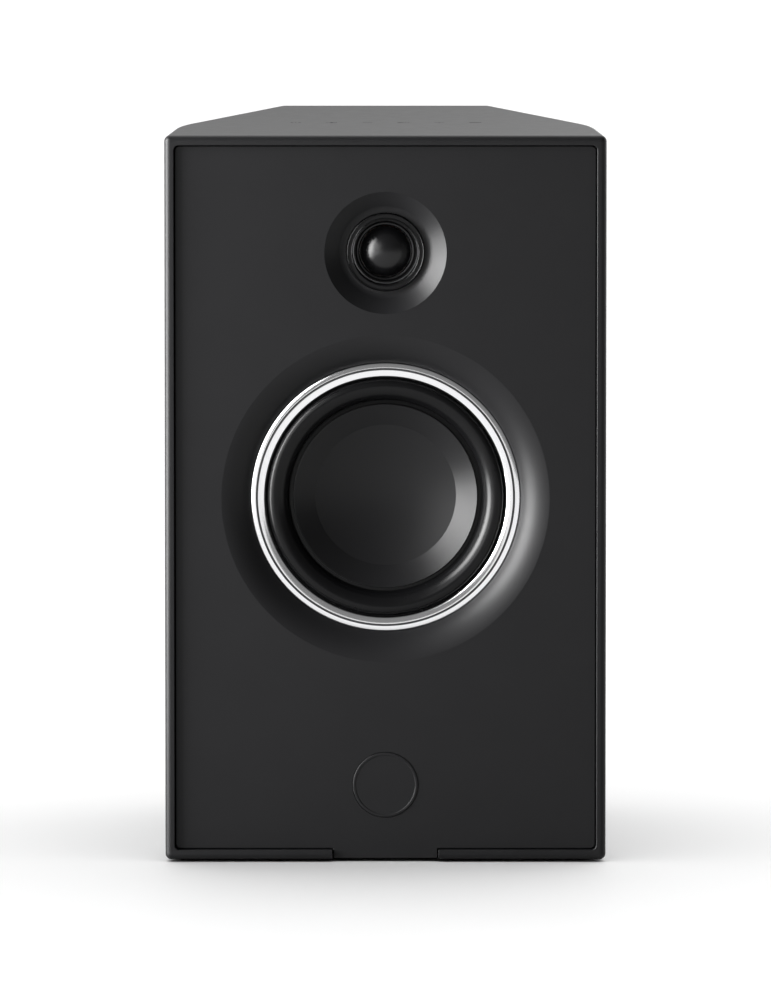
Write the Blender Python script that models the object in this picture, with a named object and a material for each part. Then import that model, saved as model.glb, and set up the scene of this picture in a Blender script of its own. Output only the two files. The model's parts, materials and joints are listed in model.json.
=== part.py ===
"""Powered two-way bookshelf loudspeaker, built as an assembly of separate pieces.

Run it with  blender --background --python part.py  or from Blender's text editor.

Everything is in metres, +Z up. The front faces -Y, X = 0 is the middle of the cabinet and Z = 0 is the
surface that the feet stand on. A depth is measured backwards from the plane of the front rim, and every
piece is placed with FRONT_Y added to its depths.
"""

from math import acos, cos, pi, radians, sin, sqrt, tan

import bmesh
import bpy
from mathutils import Vector

# ---------------------------------------------------------------- driving sizes: cabinet
WIDTH = 0.160  # across the front
HEIGHT = 0.2632  # cabinet alone, without what the feet stand out
DEPTH = 0.182  # front rim to back face
BACK_WIDTH = 0.0796  # across the back face
FOLD_DEPTH = 0.0597  # where each side folds inwards
FOLD_INSET = 0.0038  # how far each side has drawn in at the fold
FOLD_RADIUS = 0.130
EDGE_RADIUS = 0.0022
WALL = 0.008
BACK_WALL = 0.010
RIM = 0.0036  # width of the rim round the baffle
RIM_DEPTH = 0.0022  # how far the baffle lies behind the rim
CORNER_RADIUS = 0.0018  # of the baffle's corners
NOTCH_WIDTH = 0.0385  # gap in the rim for the baffle's tongue
TONGUE_LIFT = 0.0004  # tongue's end above the cabinet's underside

# ---------------------------------------------------------------- baffle and seal
BAFFLE_THICKNESS = 0.016
SEAL_THICKNESS = 0.001
SEAL_WIDTH = 0.0030
BADGE_RADIUS = 0.0118
BADGE_HEIGHT = 0.0272  # its centre above the cabinet's underside
BADGE_THICKNESS = 0.0009
BADGE_PROUD = 0.0003

# ---------------------------------------------------------------- woofer
RING_RADIUS = 0.0486  # outside of the trim ring
RING_WIDTH = 0.0049
RING_HEIGHT = 0.0020
RING_SKIRT = 0.0006  # its walls
BEAD_DROP = 0.0010
GROOVE_WIDTH = 0.0008
GROOVE_DEPTH = 0.0008
RING_PROUD = 0.0008  # ring's face in front of the flare's inner edge
FLARE_WIDTH = 0.0108
FLARE_DEPTH = 0.0072
FLARE_OUTER_SLOPE = 11.0  # degrees
FLARE_INNER_SLOPE = 57.0
ROLL_WIDTH = 0.0086  # of the surround's half roll
ROLL_HEIGHT = 0.0050
ROLL_THICKNESS = 0.0007
LIP_WIDTH = 0.0018  # of the surround's two lips
CONE_EDGE_GAP = 0.0012  # between the roll's foot and the cone's edge
CONE_DROP = 0.0026  # how far the roll's inner foot lies behind its outer foot
CONE_THICKNESS = 0.0009
CONE_BAND_WIDTH = 0.0080
CONE_BAND_DEPTH = 0.0046
CONE_CAP_DEPTH = 0.0040
FLANGE_THICKNESS = 0.0036
FLANGE_STEP = 0.0013  # rebate that takes the surround's lip
BASKET_SEAT_WIDTH = 0.0057  # baffle ledge under the flange
BASKET_WALL = 0.0022
WINDOW_WIDTH = 0.0220
WINDOW_PAIRS = 3
BASKET_DEPTH = 0.0290  # flange face to magnet plate
SPIDER_DEPTH = 0.0185  # flange face to the spider's ledge
SPIDER_INSET = 0.0020  # ledge's outside from the basket's wall at the flange
SPIDER_LEDGE = 0.0030
SPIDER_THICKNESS = 0.0006
SPIDER_WAVES = 2
SPIDER_WAVE_HEIGHT = 0.0009
COIL_RADIUS = 0.0126  # inside of the former
FORMER_THICKNESS = 0.0004
WINDING_THICKNESS = 0.0006
WINDING_HEIGHT = 0.0096
TOP_PLATE_THICKNESS = 0.0040
TOP_PLATE_RADIUS = 0.0360
MAGNET_RADIUS = 0.0390
MAGNET_BORE = 0.0210
MAGNET_THICKNESS = 0.0140
YOKE_THICKNESS = 0.0050
WOOFER_SCREWS = 4
SCREW_RADIUS = 0.0012
SCREW_HEAD_RADIUS = 0.0019
SCREW_HEAD_HEIGHT = 0.0010
SCREW_LENGTH = 0.0060
SCREW_GRIP = 0.0023  # how far a woofer screw goes into the basket's flange

# ---------------------------------------------------------------- tweeter
TWEETER_DROP = 0.0426  # its axis below the cabinet's top
DRIVER_WEB = 0.0077  # flat land between the two recesses
DISH_RADIUS = 0.0221
DISH_DEPTH = 0.0050
DISH_SLOPE = 57.0  # degrees at its outer edge
BEZEL_RADIUS = 0.0140
BEZEL_WIDTH = 0.0022
BEZEL_PROUD = 0.0015  # bezel's face in front of the dish's floor
BEZEL_CHAMFER = 0.0003
DISH_WEB = 0.0030  # baffle left behind the dish
TWEETER_FLANGE_RADIUS = 0.0230
TWEETER_FLANGE = 0.0020
DOME_HEIGHT = 0.0048
DOME_THICKNESS = 0.0004
TWEETER_ROLL_WIDTH = 0.0016
TWEETER_LIP = 0.0005  # of its surround
TWEETER_COIL_THICKNESS = 0.0004
TWEETER_COIL_HEIGHT = 0.0034
TWEETER_PLATE_RADIUS = 0.0180
TWEETER_PLATE = 0.0020
TWEETER_MAGNET_BORE = 0.0125
TWEETER_MAGNET = 0.0060
TWEETER_YOKE = 0.0030

# ---------------------------------------------------------------- reflex port
PORT_RADIUS = 0.0150
PORT_WALL = 0.0020
PORT_LENGTH = 0.0950
PORT_DROP = 0.0560  # its axis below the cabinet's top
PORT_MOUTH = 0.0060  # how far each end flares outwards
PORT_MOUTH_LENGTH = 0.0090
PORT_COLLAR = 0.0030  # collar beyond the mouth
PORT_COLLAR_THICKNESS = 0.0020

# ---------------------------------------------------------------- rear plate and what it carries
PLATE_WIDTH = 0.0620
PLATE_HEIGHT = 0.1500
PLATE_THICKNESS = 0.0020
PLATE_LIFT = 0.0180  # its lower edge above the cabinet's underside
PLATE_RECESS = 0.0003
PLATE_CORNER = 0.0040
PLATE_LEDGE = 0.0055  # plate resting on the back wall
BOARD_GAP = 0.0110  # plate to circuit board
BOARD_THICKNESS = 0.0016
BOARD_MARGIN = 0.0015  # board inside the opening's edge
PLATE_SCREW_INSET = 0.0030

JACK_RADIUS = 0.0042
JACK_BORE = 0.0017
JACK_LENGTH = 0.0080
JACK_COLLAR = 0.0062
JACK_COLLAR_HEIGHT = 0.0010
JACK_SPACING = 0.0170

POST_SPACING = 0.0210
POST_STUD = 0.0030
POST_COLLAR = 0.0082
POST_COLLAR_HEIGHT = 0.0030
POST_CAP_RADIUS = 0.0070
POST_STANDOUT = 0.0160  # back face to the end of the caps
POST_SOCKET = 0.0021  # radius of the plug hole in a cap
POST_SOCKET_DEPTH = 0.0040
POST_CHAMFER = 0.0006

DIGITAL_WIDTH = 0.0152
DIGITAL_HEIGHT = 0.0060
DIGITAL_WALL = 0.0006
OPTICAL_SIZE = 0.0096
OPTICAL_WALL = 0.0018
SOCKET_STANDOUT = 0.0008
SOCKET_POCKET = 0.0080

INLET_WIDTH = 0.0260
INLET_HEIGHT = 0.0180
INLET_CORNER = 0.0020
INLET_BODY_INSET = 0.0020
INLET_MOUTH_WIDTH = 0.0172
INLET_MOUTH_HEIGHT = 0.0078
INLET_MOUTH_DEPTH = 0.0130
INLET_BODY_DEPTH = 0.0160
PIN_RADIUS = 0.0012
PIN_SPACING = 0.0086
PIN_LENGTH = 0.0100

ROCKER_WIDTH = 0.0104
ROCKER_HEIGHT = 0.0160
ROCKER_TRAVEL = 16.0  # degrees from one stop to the other
ROCKER_DISH = 0.0011  # ends above the middle
ROCKER_DEPTH = 0.0040  # body behind the hinge
ROCKER_FACE = 0.0020  # middle of the face in front of the hinge
ROCKER_TUCK = 0.0014
BEZEL_HEIGHT = 0.0015  # of the inlet's and the switch's flanges
SWITCH_BORDER = 0.0022
SWITCH_POCKET = 0.0085
SWITCH_DEPTH = 0.0100

BUTTON_RADIUS = 0.0026
BUTTON_STANDOUT = 0.0014
BUTTON_TRAVEL = 0.0010
BUTTON_FLANGE = 0.0010
SLIDER_WIDTH = 0.0030
SLIDER_HEIGHT = 0.0026
SLIDER_STANDOUT = 0.0015
SLIDER_TRAVEL = 0.0030
SLIDER_FOOT = 0.0016
SWITCH_BODY_WIDTH = 0.0062
SWITCH_BODY_HEIGHT = 0.0062
SWITCH_BODY_DEPTH = 0.0042

# Places on the rear plate: across, and up from its lower edge.
INLET_AT = (0.0090, 0.0200)
SWITCH_AT = (-0.0180, 0.0200)
POSTS_UP = 0.0560
JACKS_UP = 0.0880
DIGITAL_AT = (-0.0110, 0.1120)
OPTICAL_AT = (0.0150, 0.1120)
BUTTON_AT = (-0.0140, 0.1350)
SLIDER_AT = (0.0120, 0.1350)

# ---------------------------------------------------------------- on the board, from its lower edge
TRANSFORMER = (0.0300, 0.0220, 0.0280)  # across, deep, high
TRANSFORMER_CORNER = 0.0020
TRANSFORMER_UP = 0.0260
CAPACITOR_RADIUS = 0.0080
CAPACITOR_LENGTH = 0.0260
CAPACITOR_UP = 0.0600
HEATSINK = (0.0400, 0.0240, 0.0340)
HEATSINK_UP = 0.1020
HEATSINK_FINS = 6
HEATSINK_BASE = 0.0040
HEATSINK_FIN = 0.0024

# ---------------------------------------------------------------- touch row, feet, foam and leads
TOUCH_BACK = 0.0760  # depth of the row of touch marks
TOUCH_BOARD = (0.0860, 0.0160, 0.0016)
TOUCH_SKIN = 0.0020  # cabinet left over the touch board
FOOT_RADIUS = 0.0090
FOOT_STANDOUT = 0.0008
FOOT_POCKET = 0.0020
FOOT_EDGE = 0.0120  # foot's rim to the cabinet's side
FRONT_FOOT_DEPTH = 0.0340
BACK_FOOT_DEPTH = 0.0260  # from the back face
FOAM = (0.1000, 0.0550, 0.0140)
FOAM_DEPTH = 0.0900
FOAM_CLEARANCE = 0.0010
LEAD_RADIUS = 0.0014
LEAD_CLEARANCE = 0.0026  # to the port tube and inside the board's edge

# ---------------------------------------------------------------- how finely round things are cut
GAP = 0.0003  # between pieces that touch
FIT = 0.0004  # round piece in its bore
CUT = 0.0100  # how far a cutter runs past what it cuts
WELD = 1e-6
ROUND = 36
MEDIUM = 20
SMALL = 12
FOLD_STEPS = 4
FLARE_STEPS = 5
ROLL_STEPS = 5
CONE_STEPS = 4
DOME_STEPS = 4
PORT_STEPS = 4
SMOOTH_ANGLE = radians(35)

# ---------------------------------------------------------------- worked out from the sizes above
FRONT_Y = -(DEPTH + POST_STANDOUT) / 2
BACK_Y = FRONT_Y + DEPTH
BASE_Z = FOOT_STANDOUT
TOP_Z = BASE_Z + HEIGHT
FLARE_RADIUS = RING_RADIUS + FLARE_WIDTH
TWEETER_Z = TOP_Z - TWEETER_DROP
WOOFER_Z = TWEETER_Z - (FLARE_RADIUS + DRIVER_WEB + DISH_RADIUS)
BAFFLE_BACK = RIM_DEPTH + BAFFLE_THICKNESS
REBATE_DEPTH = BAFFLE_BACK + SEAL_THICKNESS + 2 * GAP
RING_BACK = RIM_DEPTH + FLARE_DEPTH - RING_PROUD + RING_HEIGHT
FLANGE_FRONT = RING_BACK + GAP
FLANGE_BACK = FLANGE_FRONT + FLANGE_THICKNESS
LIP_DEPTH = FLANGE_FRONT + GAP
RING_BORE = RING_RADIUS - RING_WIDTH
ROLL_OUTER = RING_BORE - GAP
ROLL_INNER = ROLL_OUTER - ROLL_WIDTH
CONE_RADIUS = ROLL_INNER - CONE_EDGE_GAP
CONE_SLOPE = CONE_BAND_DEPTH / CONE_BAND_WIDTH
CONE_DEPTH = LIP_DEPTH + CONE_DROP - CONE_THICKNESS
BASKET_BORE = RING_RADIUS + FIT - BASKET_SEAT_WIDTH
SPIDER_RADIUS = BASKET_BORE - GAP - BASKET_WALL - SPIDER_INSET
TWEETER_BORE = BEZEL_RADIUS - BEZEL_WIDTH
TWEETER_ROLL = TWEETER_BORE - GAP - TWEETER_LIP
DOME_RADIUS = TWEETER_ROLL - TWEETER_ROLL_WIDTH - GAP
PLATE_Z = BASE_Z + PLATE_LIFT
PLATE_BACK = DEPTH - PLATE_RECESS
PLATE_FRONT = PLATE_BACK - PLATE_THICKNESS
THROUGH = (PLATE_FRONT - CUT / 4, PLATE_BACK + CUT / 4)
BOARD_BACK = PLATE_FRONT - BOARD_GAP
BOARD_FRONT = BOARD_BACK - BOARD_THICKNESS
BOARD_WIDTH = PLATE_WIDTH - 2 * PLATE_LEDGE - 2 * BOARD_MARGIN
BOARD_HEIGHT = PLATE_HEIGHT - 2 * PLATE_LEDGE - 2 * BOARD_MARGIN
BOARD_Z = PLATE_Z + PLATE_LEDGE + BOARD_MARGIN
PORT_Z = TOP_Z - PORT_DROP

FINISHES = {
    # name: (colour, roughness, metallic)
    "cabinet": ((0.030, 0.030, 0.031), 0.50, 0.0),
    "baffle": ((0.026, 0.026, 0.027), 0.45, 0.0),
    "bright_metal": ((0.86, 0.86, 0.87), 0.12, 1.0),
    "steel": ((0.45, 0.45, 0.46), 0.35, 1.0),
    "ferrite": ((0.05, 0.05, 0.055), 0.60, 0.0),
    "copper": ((0.72, 0.36, 0.20), 0.35, 1.0),
    "cone": ((0.035, 0.035, 0.037), 0.38, 0.0),
    "rubber": ((0.015, 0.015, 0.016), 0.55, 0.0),
    "silk": ((0.012, 0.012, 0.013), 0.30, 0.0),
    "spider": ((0.60, 0.44, 0.20), 0.85, 0.0),
    "black_plastic": ((0.020, 0.020, 0.021), 0.45, 0.0),
    "grey_plastic": ((0.10, 0.10, 0.105), 0.45, 0.0),
    "red_plastic": ((0.42, 0.02, 0.02), 0.35, 0.0),
    "white_plastic": ((0.75, 0.75, 0.73), 0.40, 0.0),
    "board": ((0.02, 0.10, 0.05), 0.45, 0.0),
    "aluminium": ((0.60, 0.60, 0.62), 0.40, 1.0),
    "foam": ((0.05, 0.05, 0.052), 0.95, 0.0),
}


# ---------------------------------------------------------------- tools
def clear_scene():
    for obj in list(bpy.data.objects):
        bpy.data.objects.remove(obj, do_unlink=True)


def finish(name):
    """The named finish as a material, made once."""
    found = bpy.data.materials.get(name)
    if found:
        return found
    colour, roughness, metallic = FINISHES[name]
    made = bpy.data.materials.new(name)
    made.use_nodes = True
    shader = made.node_tree.nodes["Principled BSDF"]
    shader.inputs["Base Color"].default_value = (*colour, 1.0)
    shader.inputs["Roughness"].default_value = roughness
    shader.inputs["Metallic"].default_value = metallic
    return made


def add(name, bm, look, at=(0.0, 0.0, 0.0)):
    """Turns a bmesh into a named object with its faces pointing out."""
    bmesh.ops.remove_doubles(bm, verts=bm.verts, dist=WELD)
    bmesh.ops.recalc_face_normals(bm, faces=bm.faces)
    mesh = bpy.data.meshes.new(name)
    bm.to_mesh(mesh)
    bm.free()
    mesh.shade_smooth()
    mesh.set_sharp_from_angle(angle=SMOOTH_ANGLE)
    mesh.materials.append(finish(look))
    obj = bpy.data.objects.new(name, mesh)
    obj.location = at
    bpy.context.scene.collection.objects.link(obj)
    return obj


def lathe(name, profile, look, x=0.0, z=0.0, segments=ROUND):
    """Turns a (radius, depth) outline about an axis that runs from front to back through x, z."""
    bm = bmesh.new()
    points = [bm.verts.new((radius, depth, 0.0)) for radius, depth in profile]
    pairs = zip(points, points[1:] + points[:1])
    edges = [bm.edges.new(p) for p in pairs if max(v.co.x for v in p) > WELD]
    bmesh.ops.spin(
        bm, geom=points + edges, cent=(0, 0, 0), axis=(0, 1, 0), angle=2 * pi, steps=segments
    )
    return add(name, bm, look, (x, FRONT_Y, z))


def prism(name, outline, start, end, look, along="Y", at=(0.0, 0.0, 0.0)):
    """Runs a flat outline from start to end. It is (x, z) along Y, (x, y) along Z and (y, z) along X."""
    place = {
        "X": lambda u, v, w: (w, u, v),
        "Y": lambda u, v, w: (u, w, v),
        "Z": lambda u, v, w: (u, v, w),
    }[along]
    bm = bmesh.new()
    face = bm.faces.new([bm.verts.new(place(u, v, start)) for u, v in outline])
    moved = bmesh.ops.extrude_face_region(bm, geom=[face])["geom"]
    shift = Vector(place(0, 0, end)) - Vector(place(0, 0, start))
    bmesh.ops.translate(bm, verts=[g for g in moved if isinstance(g, bmesh.types.BMVert)], vec=shift)
    return add(name, bm, look, at)


def cut(obj, *cutters):
    """Takes each cutter out of obj. A cutter isn't part of the loudspeaker."""
    for cutter in cutters:
        cutter.hide_render = True
        cutter.display_type = "WIRE"
        modifier = obj.modifiers.new(cutter.name, "BOOLEAN")
        modifier.operation = "DIFFERENCE"
        modifier.solver = "EXACT"
        modifier.object = cutter
    return obj


def arc(centre, radius, start, end, steps):
    """Points on an arc, both ends included, angles in degrees."""
    turn = [radians(start + (end - start) * k / steps) for k in range(steps + 1)]
    return [(centre[0] + radius * cos(a), centre[1] + radius * sin(a)) for a in turn]


def rectangle(width, low, high, corner=0.0, steps=3, across=0.0):
    """An upright (x, z) rectangle with round corners, centred on across."""
    half = width / 2
    if corner <= 0:
        points = [(-half, low), (half, low), (half, high), (-half, high)]
    else:
        inner, bottom, top = half - corner, low + corner, high - corner
        points = (
            arc((inner, bottom), corner, -90, 0, steps)
            + arc((inner, top), corner, 0, 90, steps)
            + arc((-inner, top), corner, 90, 180, steps)
            + arc((-inner, bottom), corner, 180, 270, steps)
        )
    return [(across + x, z) for x, z in points]


def fillet(before, corner, after, radius, steps):
    """The arc that rounds one corner of an outline."""
    back = (Vector(before) - Vector(corner)).normalized()
    on = (Vector(after) - Vector(corner)).normalized()
    half = acos(max(-1.0, min(1.0, back.dot(on)))) / 2
    centre = Vector(corner) + (back + on).normalized() * (radius / sin(half))
    first = Vector(corner) + back * (radius / tan(half)) - centre
    last = Vector(corner) + on * (radius / tan(half)) - centre
    return [tuple(centre + first.slerp(last, k / steps) * radius) for k in range(steps + 1)]


def turned(points, degrees):
    """Points turned about the origin."""
    c, s = cos(radians(degrees)), sin(radians(degrees))
    return [(u * c - v * s, u * s + v * c) for u, v in points]


# ---------------------------------------------------------------- cabinet
def plan(side=0.0, front=0.0, back=0.0):
    """The cabinet's plan (x, y), counter-clockwise from its front left, with each wall moved inwards."""
    corners = [
        Vector((-WIDTH / 2, FRONT_Y)),
        Vector((WIDTH / 2, FRONT_Y)),
        Vector((WIDTH / 2 - FOLD_INSET, FRONT_Y + FOLD_DEPTH)),
        Vector((BACK_WIDTH / 2, BACK_Y)),
        Vector((-BACK_WIDTH / 2, BACK_Y)),
        Vector((FOLD_INSET - WIDTH / 2, FRONT_Y + FOLD_DEPTH)),
    ]
    insets = [front, side, side, back, side, side]
    lines = []
    for k, inset in enumerate(insets):
        start, end = corners[k], corners[(k + 1) % len(corners)]
        way = (end - start).normalized()
        inward = Vector((-way.y, way.x))
        lines.append((start + inward * inset, way))
    moved = []
    for k, (point, way) in enumerate(lines):
        last_point, last_way = lines[k - 1]
        gap = point - last_point
        across = last_way.x * way.y - last_way.y * way.x
        along = (gap.x * way.y - gap.y * way.x) / across
        moved.append(last_point + last_way * along)
    bend = FOLD_RADIUS - side
    right = fillet(moved[1], moved[2], moved[3], bend, FOLD_STEPS)
    left = fillet(moved[4], moved[5], moved[0], bend, FOLD_STEPS)
    ends = [tuple(p) for p in moved]
    return [ends[0], ends[1], *right, ends[3], ends[4], *left]


def round_outer_edges(obj):
    """Rounds the cabinet's top and bottom edges, and its four upright corners."""
    bm = bmesh.new()
    bm.from_mesh(obj.data)
    chosen = []
    for edge in bm.edges:
        a, b = (v.co for v in edge.verts)
        level = abs(a.z - b.z) < WELD
        at_corner = min(abs(a.y - FRONT_Y), abs(a.y - BACK_Y)) < WELD
        if level or at_corner:
            chosen.append(edge)
    bmesh.ops.bevel(
        bm, geom=chosen, offset=EDGE_RADIUS, segments=3, profile=0.5, affect="EDGES"
    )
    bm.to_mesh(obj.data)
    bm.free()
    obj.data.shade_smooth()
    obj.data.set_sharp_from_angle(angle=SMOOTH_ANGLE)


def half_width(depth):
    """Half the cabinet's width at a depth."""
    fold = WIDTH / 2 - FOLD_INSET
    if depth < FOLD_DEPTH:
        return WIDTH / 2 - FOLD_INSET * depth / FOLD_DEPTH
    return fold - (fold - BACK_WIDTH / 2) * (depth - FOLD_DEPTH) / (DEPTH - FOLD_DEPTH)


def foot_places():
    """(x, y) of each foot's centre."""
    places = []
    for depth in (FRONT_FOOT_DEPTH, DEPTH - BACK_FOOT_DEPTH):
        x = half_width(depth) - FOOT_EDGE - FOOT_RADIUS
        places += [(-x, FRONT_Y + depth), (x, FRONT_Y + depth)]
    return places


def upright(name, radius, low, high, look, at, segments=MEDIUM):
    """An upright round bar centred on at."""
    outline = arc((0, 0), radius, 0, 360 * (1 - 1 / segments), segments - 1)
    return prism(name, outline, low, high, look, "Z", at)


def build_cabinet():
    shell = prism("cabinet_shell", plan(), BASE_Z, TOP_Z, "cabinet", "Z")
    round_outer_edges(shell)
    cavity = prism(
        "cut_cavity",
        plan(side=WALL, front=-CUT, back=BACK_WALL),
        BASE_Z + WALL,
        TOP_Z - WALL,
        "cabinet",
        "Z",
    )
    rebate = prism(
        "cut_rebate",
        rectangle(WIDTH - 2 * RIM, BASE_Z + RIM, TOP_Z - RIM, CORNER_RADIUS),
        FRONT_Y - CUT,
        FRONT_Y + REBATE_DEPTH,
        "cabinet",
    )
    notch = prism(
        "cut_notch",
        rectangle(NOTCH_WIDTH, BASE_Z - CUT, BASE_Z + RIM + CORNER_RADIUS),
        FRONT_Y - CUT,
        FRONT_Y + BAFFLE_BACK + GAP,
        "cabinet",
    )
    plate_top = PLATE_Z + PLATE_HEIGHT
    recess = prism(
        "cut_plate_recess",
        rectangle(PLATE_WIDTH + 2 * GAP, PLATE_Z - GAP, plate_top + GAP, PLATE_CORNER),
        FRONT_Y + PLATE_FRONT - GAP,
        BACK_Y + CUT,
        "cabinet",
    )
    opening = prism(
        "cut_plate_opening",
        rectangle(
            PLATE_WIDTH - 2 * PLATE_LEDGE,
            PLATE_Z + PLATE_LEDGE,
            plate_top - PLATE_LEDGE,
            PLATE_CORNER,
        ),
        BACK_Y - BACK_WALL - CUT / 2,
        BACK_Y + CUT,
        "cabinet",
    )
    port_mouth = PORT_RADIUS + PORT_MOUTH
    port_hole = lathe(
        "cut_port",
        [
            (0, DEPTH - BACK_WALL - CUT / 2),
            (port_mouth + FIT, DEPTH - BACK_WALL - CUT / 2),
            (port_mouth + FIT, DEPTH - PORT_COLLAR_THICKNESS - GAP),
            (port_mouth + PORT_COLLAR + FIT, DEPTH - PORT_COLLAR_THICKNESS - GAP),
            (port_mouth + PORT_COLLAR + FIT, DEPTH + CUT),
            (0, DEPTH + CUT),
        ],
        "cabinet",
        z=PORT_Z,
    )
    width, deep, _ = TOUCH_BOARD
    touch_pocket = prism(
        "cut_touch_pocket",
        rectangle(width + 4 * GAP, TOP_Z - WALL - CUT, TOP_Z - TOUCH_SKIN),
        FRONT_Y + TOUCH_BACK - deep / 2 - 2 * GAP,
        FRONT_Y + TOUCH_BACK + deep / 2 + 2 * GAP,
        "cabinet",
    )
    cut(shell, cavity, rebate, notch, recess, opening, port_hole, touch_pocket)
    for number, (x, y) in enumerate(foot_places(), 1):
        pocket = upright(
            f"cut_foot_{number}",
            FOOT_RADIUS + FIT,
            BASE_Z - CUT,
            BASE_Z + FOOT_POCKET,
            "cabinet",
            (x, y, 0),
        )
        cut(shell, pocket)
        low, high = 0, BASE_Z + FOOT_POCKET - GAP
        upright(f"foot_{number}", FOOT_RADIUS, low, high, "rubber", (x, y, 0))
    board_top = TOP_Z - TOUCH_SKIN - GAP
    prism(
        "touch_board",
        rectangle(width, board_top - TOUCH_BOARD[2], board_top),
        FRONT_Y + TOUCH_BACK - deep / 2,
        FRONT_Y + TOUCH_BACK + deep / 2,
        "board",
    )


# ---------------------------------------------------------------- baffle
def flare_profile():
    """The flare round the woofer (radius, depth), from the baffle's face inwards, where it is steepest."""
    outer, inner = radians(FLARE_OUTER_SLOPE), radians(FLARE_INNER_SLOPE)
    points = []
    for k in range(FLARE_STEPS + 1):
        slope = outer + (inner - outer) * k / FLARE_STEPS
        inwards = (sin(slope) - sin(outer)) / (sin(inner) - sin(outer))
        down = (cos(outer) - cos(slope)) / (cos(outer) - cos(inner))
        points.append((FLARE_RADIUS - FLARE_WIDTH * inwards, RIM_DEPTH + FLARE_DEPTH * down))
    return points


def dish_profile():
    """The tweeter's dish (radius, depth) from its floor at the bezel out to its steep, crisp edge."""
    edge = radians(DISH_SLOPE)
    floor = BEZEL_RADIUS + FIT
    width = DISH_RADIUS - floor
    points = []
    for k in range(FLARE_STEPS + 1):
        slope = edge * k / FLARE_STEPS
        outwards = sin(slope) / sin(edge)
        up = (1 - cos(slope)) / (1 - cos(edge))
        points.append((floor + width * outwards, RIM_DEPTH + DISH_DEPTH * (1 - up)))
    return points


def woofer_screw_places():
    """(x, z) of each woofer screw, on the middle of the baffle's ledge."""
    radius = (BASKET_BORE + RING_RADIUS) / 2 + GAP
    angles = (pi / 4 + 2 * pi * k / WOOFER_SCREWS for k in range(WOOFER_SCREWS))
    return [(radius * cos(a), WOOFER_Z + radius * sin(a)) for a in angles]


def build_baffle():
    """A plate with a tongue that reaches down through the gap in the rim."""
    half = WIDTH / 2 - RIM - GAP
    low, high = BASE_Z + RIM + GAP, TOP_Z - RIM - GAP
    body = rectangle(2 * half, low, high, CORNER_RADIUS)
    side, end = NOTCH_WIDTH / 2 - GAP, BASE_Z + TONGUE_LIFT
    tongue = [(-side, low), (-side, end), (side, end), (side, low)]
    front, back = FRONT_Y + RIM_DEPTH, FRONT_Y + BAFFLE_BACK
    baffle = prism("front_baffle", tongue + body, front, back, "baffle")
    cut(baffle, woofer_cutter(), tweeter_cutter())

    z = BASE_Z + BADGE_HEIGHT
    face, floor = RIM_DEPTH - BADGE_PROUD, RIM_DEPTH - BADGE_PROUD + BADGE_THICKNESS
    cut(baffle, disc("cut_badge", BADGE_RADIUS + GAP, -CUT, floor + GAP, "baffle", 0, z))
    disc("badge_disc", BADGE_RADIUS, face, floor, "baffle", 0, z)

    hole = (SCREW_RADIUS + GAP, FLANGE_BACK - CUT / 4, BAFFLE_BACK + CUT, "baffle")
    for number, (x, z) in enumerate(woofer_screw_places(), 1):
        cut(baffle, disc(f"cut_baffle_screw_{number}", *hole, x, z, SMALL))
    build_seal(half, low, high)


def woofer_cutter():
    """The flare, the bore for the trim ring and the flange, and the narrower bore behind its ledge."""
    bore, seat = RING_RADIUS + FIT, FLANGE_BACK + GAP
    steps = [(bore, seat), (BASKET_BORE, seat), (BASKET_BORE, BAFFLE_BACK + CUT), (0, BAFFLE_BACK + CUT)]
    flare = flare_profile()
    flare[-1] = (bore, flare[-1][1])
    profile = [(0, -CUT), (FLARE_RADIUS, -CUT), *flare, *steps]
    return lathe("cut_woofer", profile, "baffle", z=WOOFER_Z)


def tweeter_cutter():
    """The dish, a hole for the bezel and a pocket for the motor behind the dish."""
    pocket = RIM_DEPTH + DISH_DEPTH + DISH_WEB
    hole, wide = BEZEL_RADIUS + FIT, TWEETER_FLANGE_RADIUS + FIT
    steps = [(hole, pocket), (wide, pocket), (wide, BAFFLE_BACK + CUT), (0, BAFFLE_BACK + CUT)]
    dish = dish_profile()
    profile = [(0, -CUT), (DISH_RADIUS, -CUT), *reversed(dish), *steps]
    return lathe("cut_tweeter", profile, "baffle", z=TWEETER_Z)


def build_seal(half, low, high):
    """A flat frame between the baffle and the step in the cabinet."""
    front = FRONT_Y + BAFFLE_BACK + GAP
    outline = rectangle(2 * half, low, high, CORNER_RADIUS)
    seal = prism("baffle_seal", outline, front, front + SEAL_THICKNESS, "rubber")
    inside = rectangle(2 * (half - SEAL_WIDTH), low + SEAL_WIDTH, high - SEAL_WIDTH, CORNER_RADIUS)
    cut(seal, prism("cut_seal", inside, front - CUT, front + CUT, "rubber"))


def disc(name, radius, front, back, look, x=0.0, z=0.0, segments=MEDIUM):
    """A round plate or bar that lies along the depth."""
    profile = [(0, front), (radius, front), (radius, back), (0, back)]
    return lathe(name, profile, look, x, z, segments)


def ring(name, inner, outer, front, back, look, z=0.0, segments=MEDIUM):
    """A plain ring or tube that lies along the depth."""
    profile = [(inner, front), (outer, front), (outer, back), (inner, back)]
    return lathe(name, profile, look, z=z, segments=segments)


def screw(name, tip, seat, look, x, z):
    """A round-headed screw from its tip to where its head sits. Its head lies beyond the seat."""
    top = seat + SCREW_HEAD_HEIGHT if seat > tip else seat - SCREW_HEAD_HEIGHT
    shank = [(0, tip), (SCREW_RADIUS, tip), (SCREW_RADIUS, seat)]
    head = [(SCREW_HEAD_RADIUS, seat), (SCREW_HEAD_RADIUS, top), (0, top)]
    return lathe(name, shank + head, look, x, z, SMALL)


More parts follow.
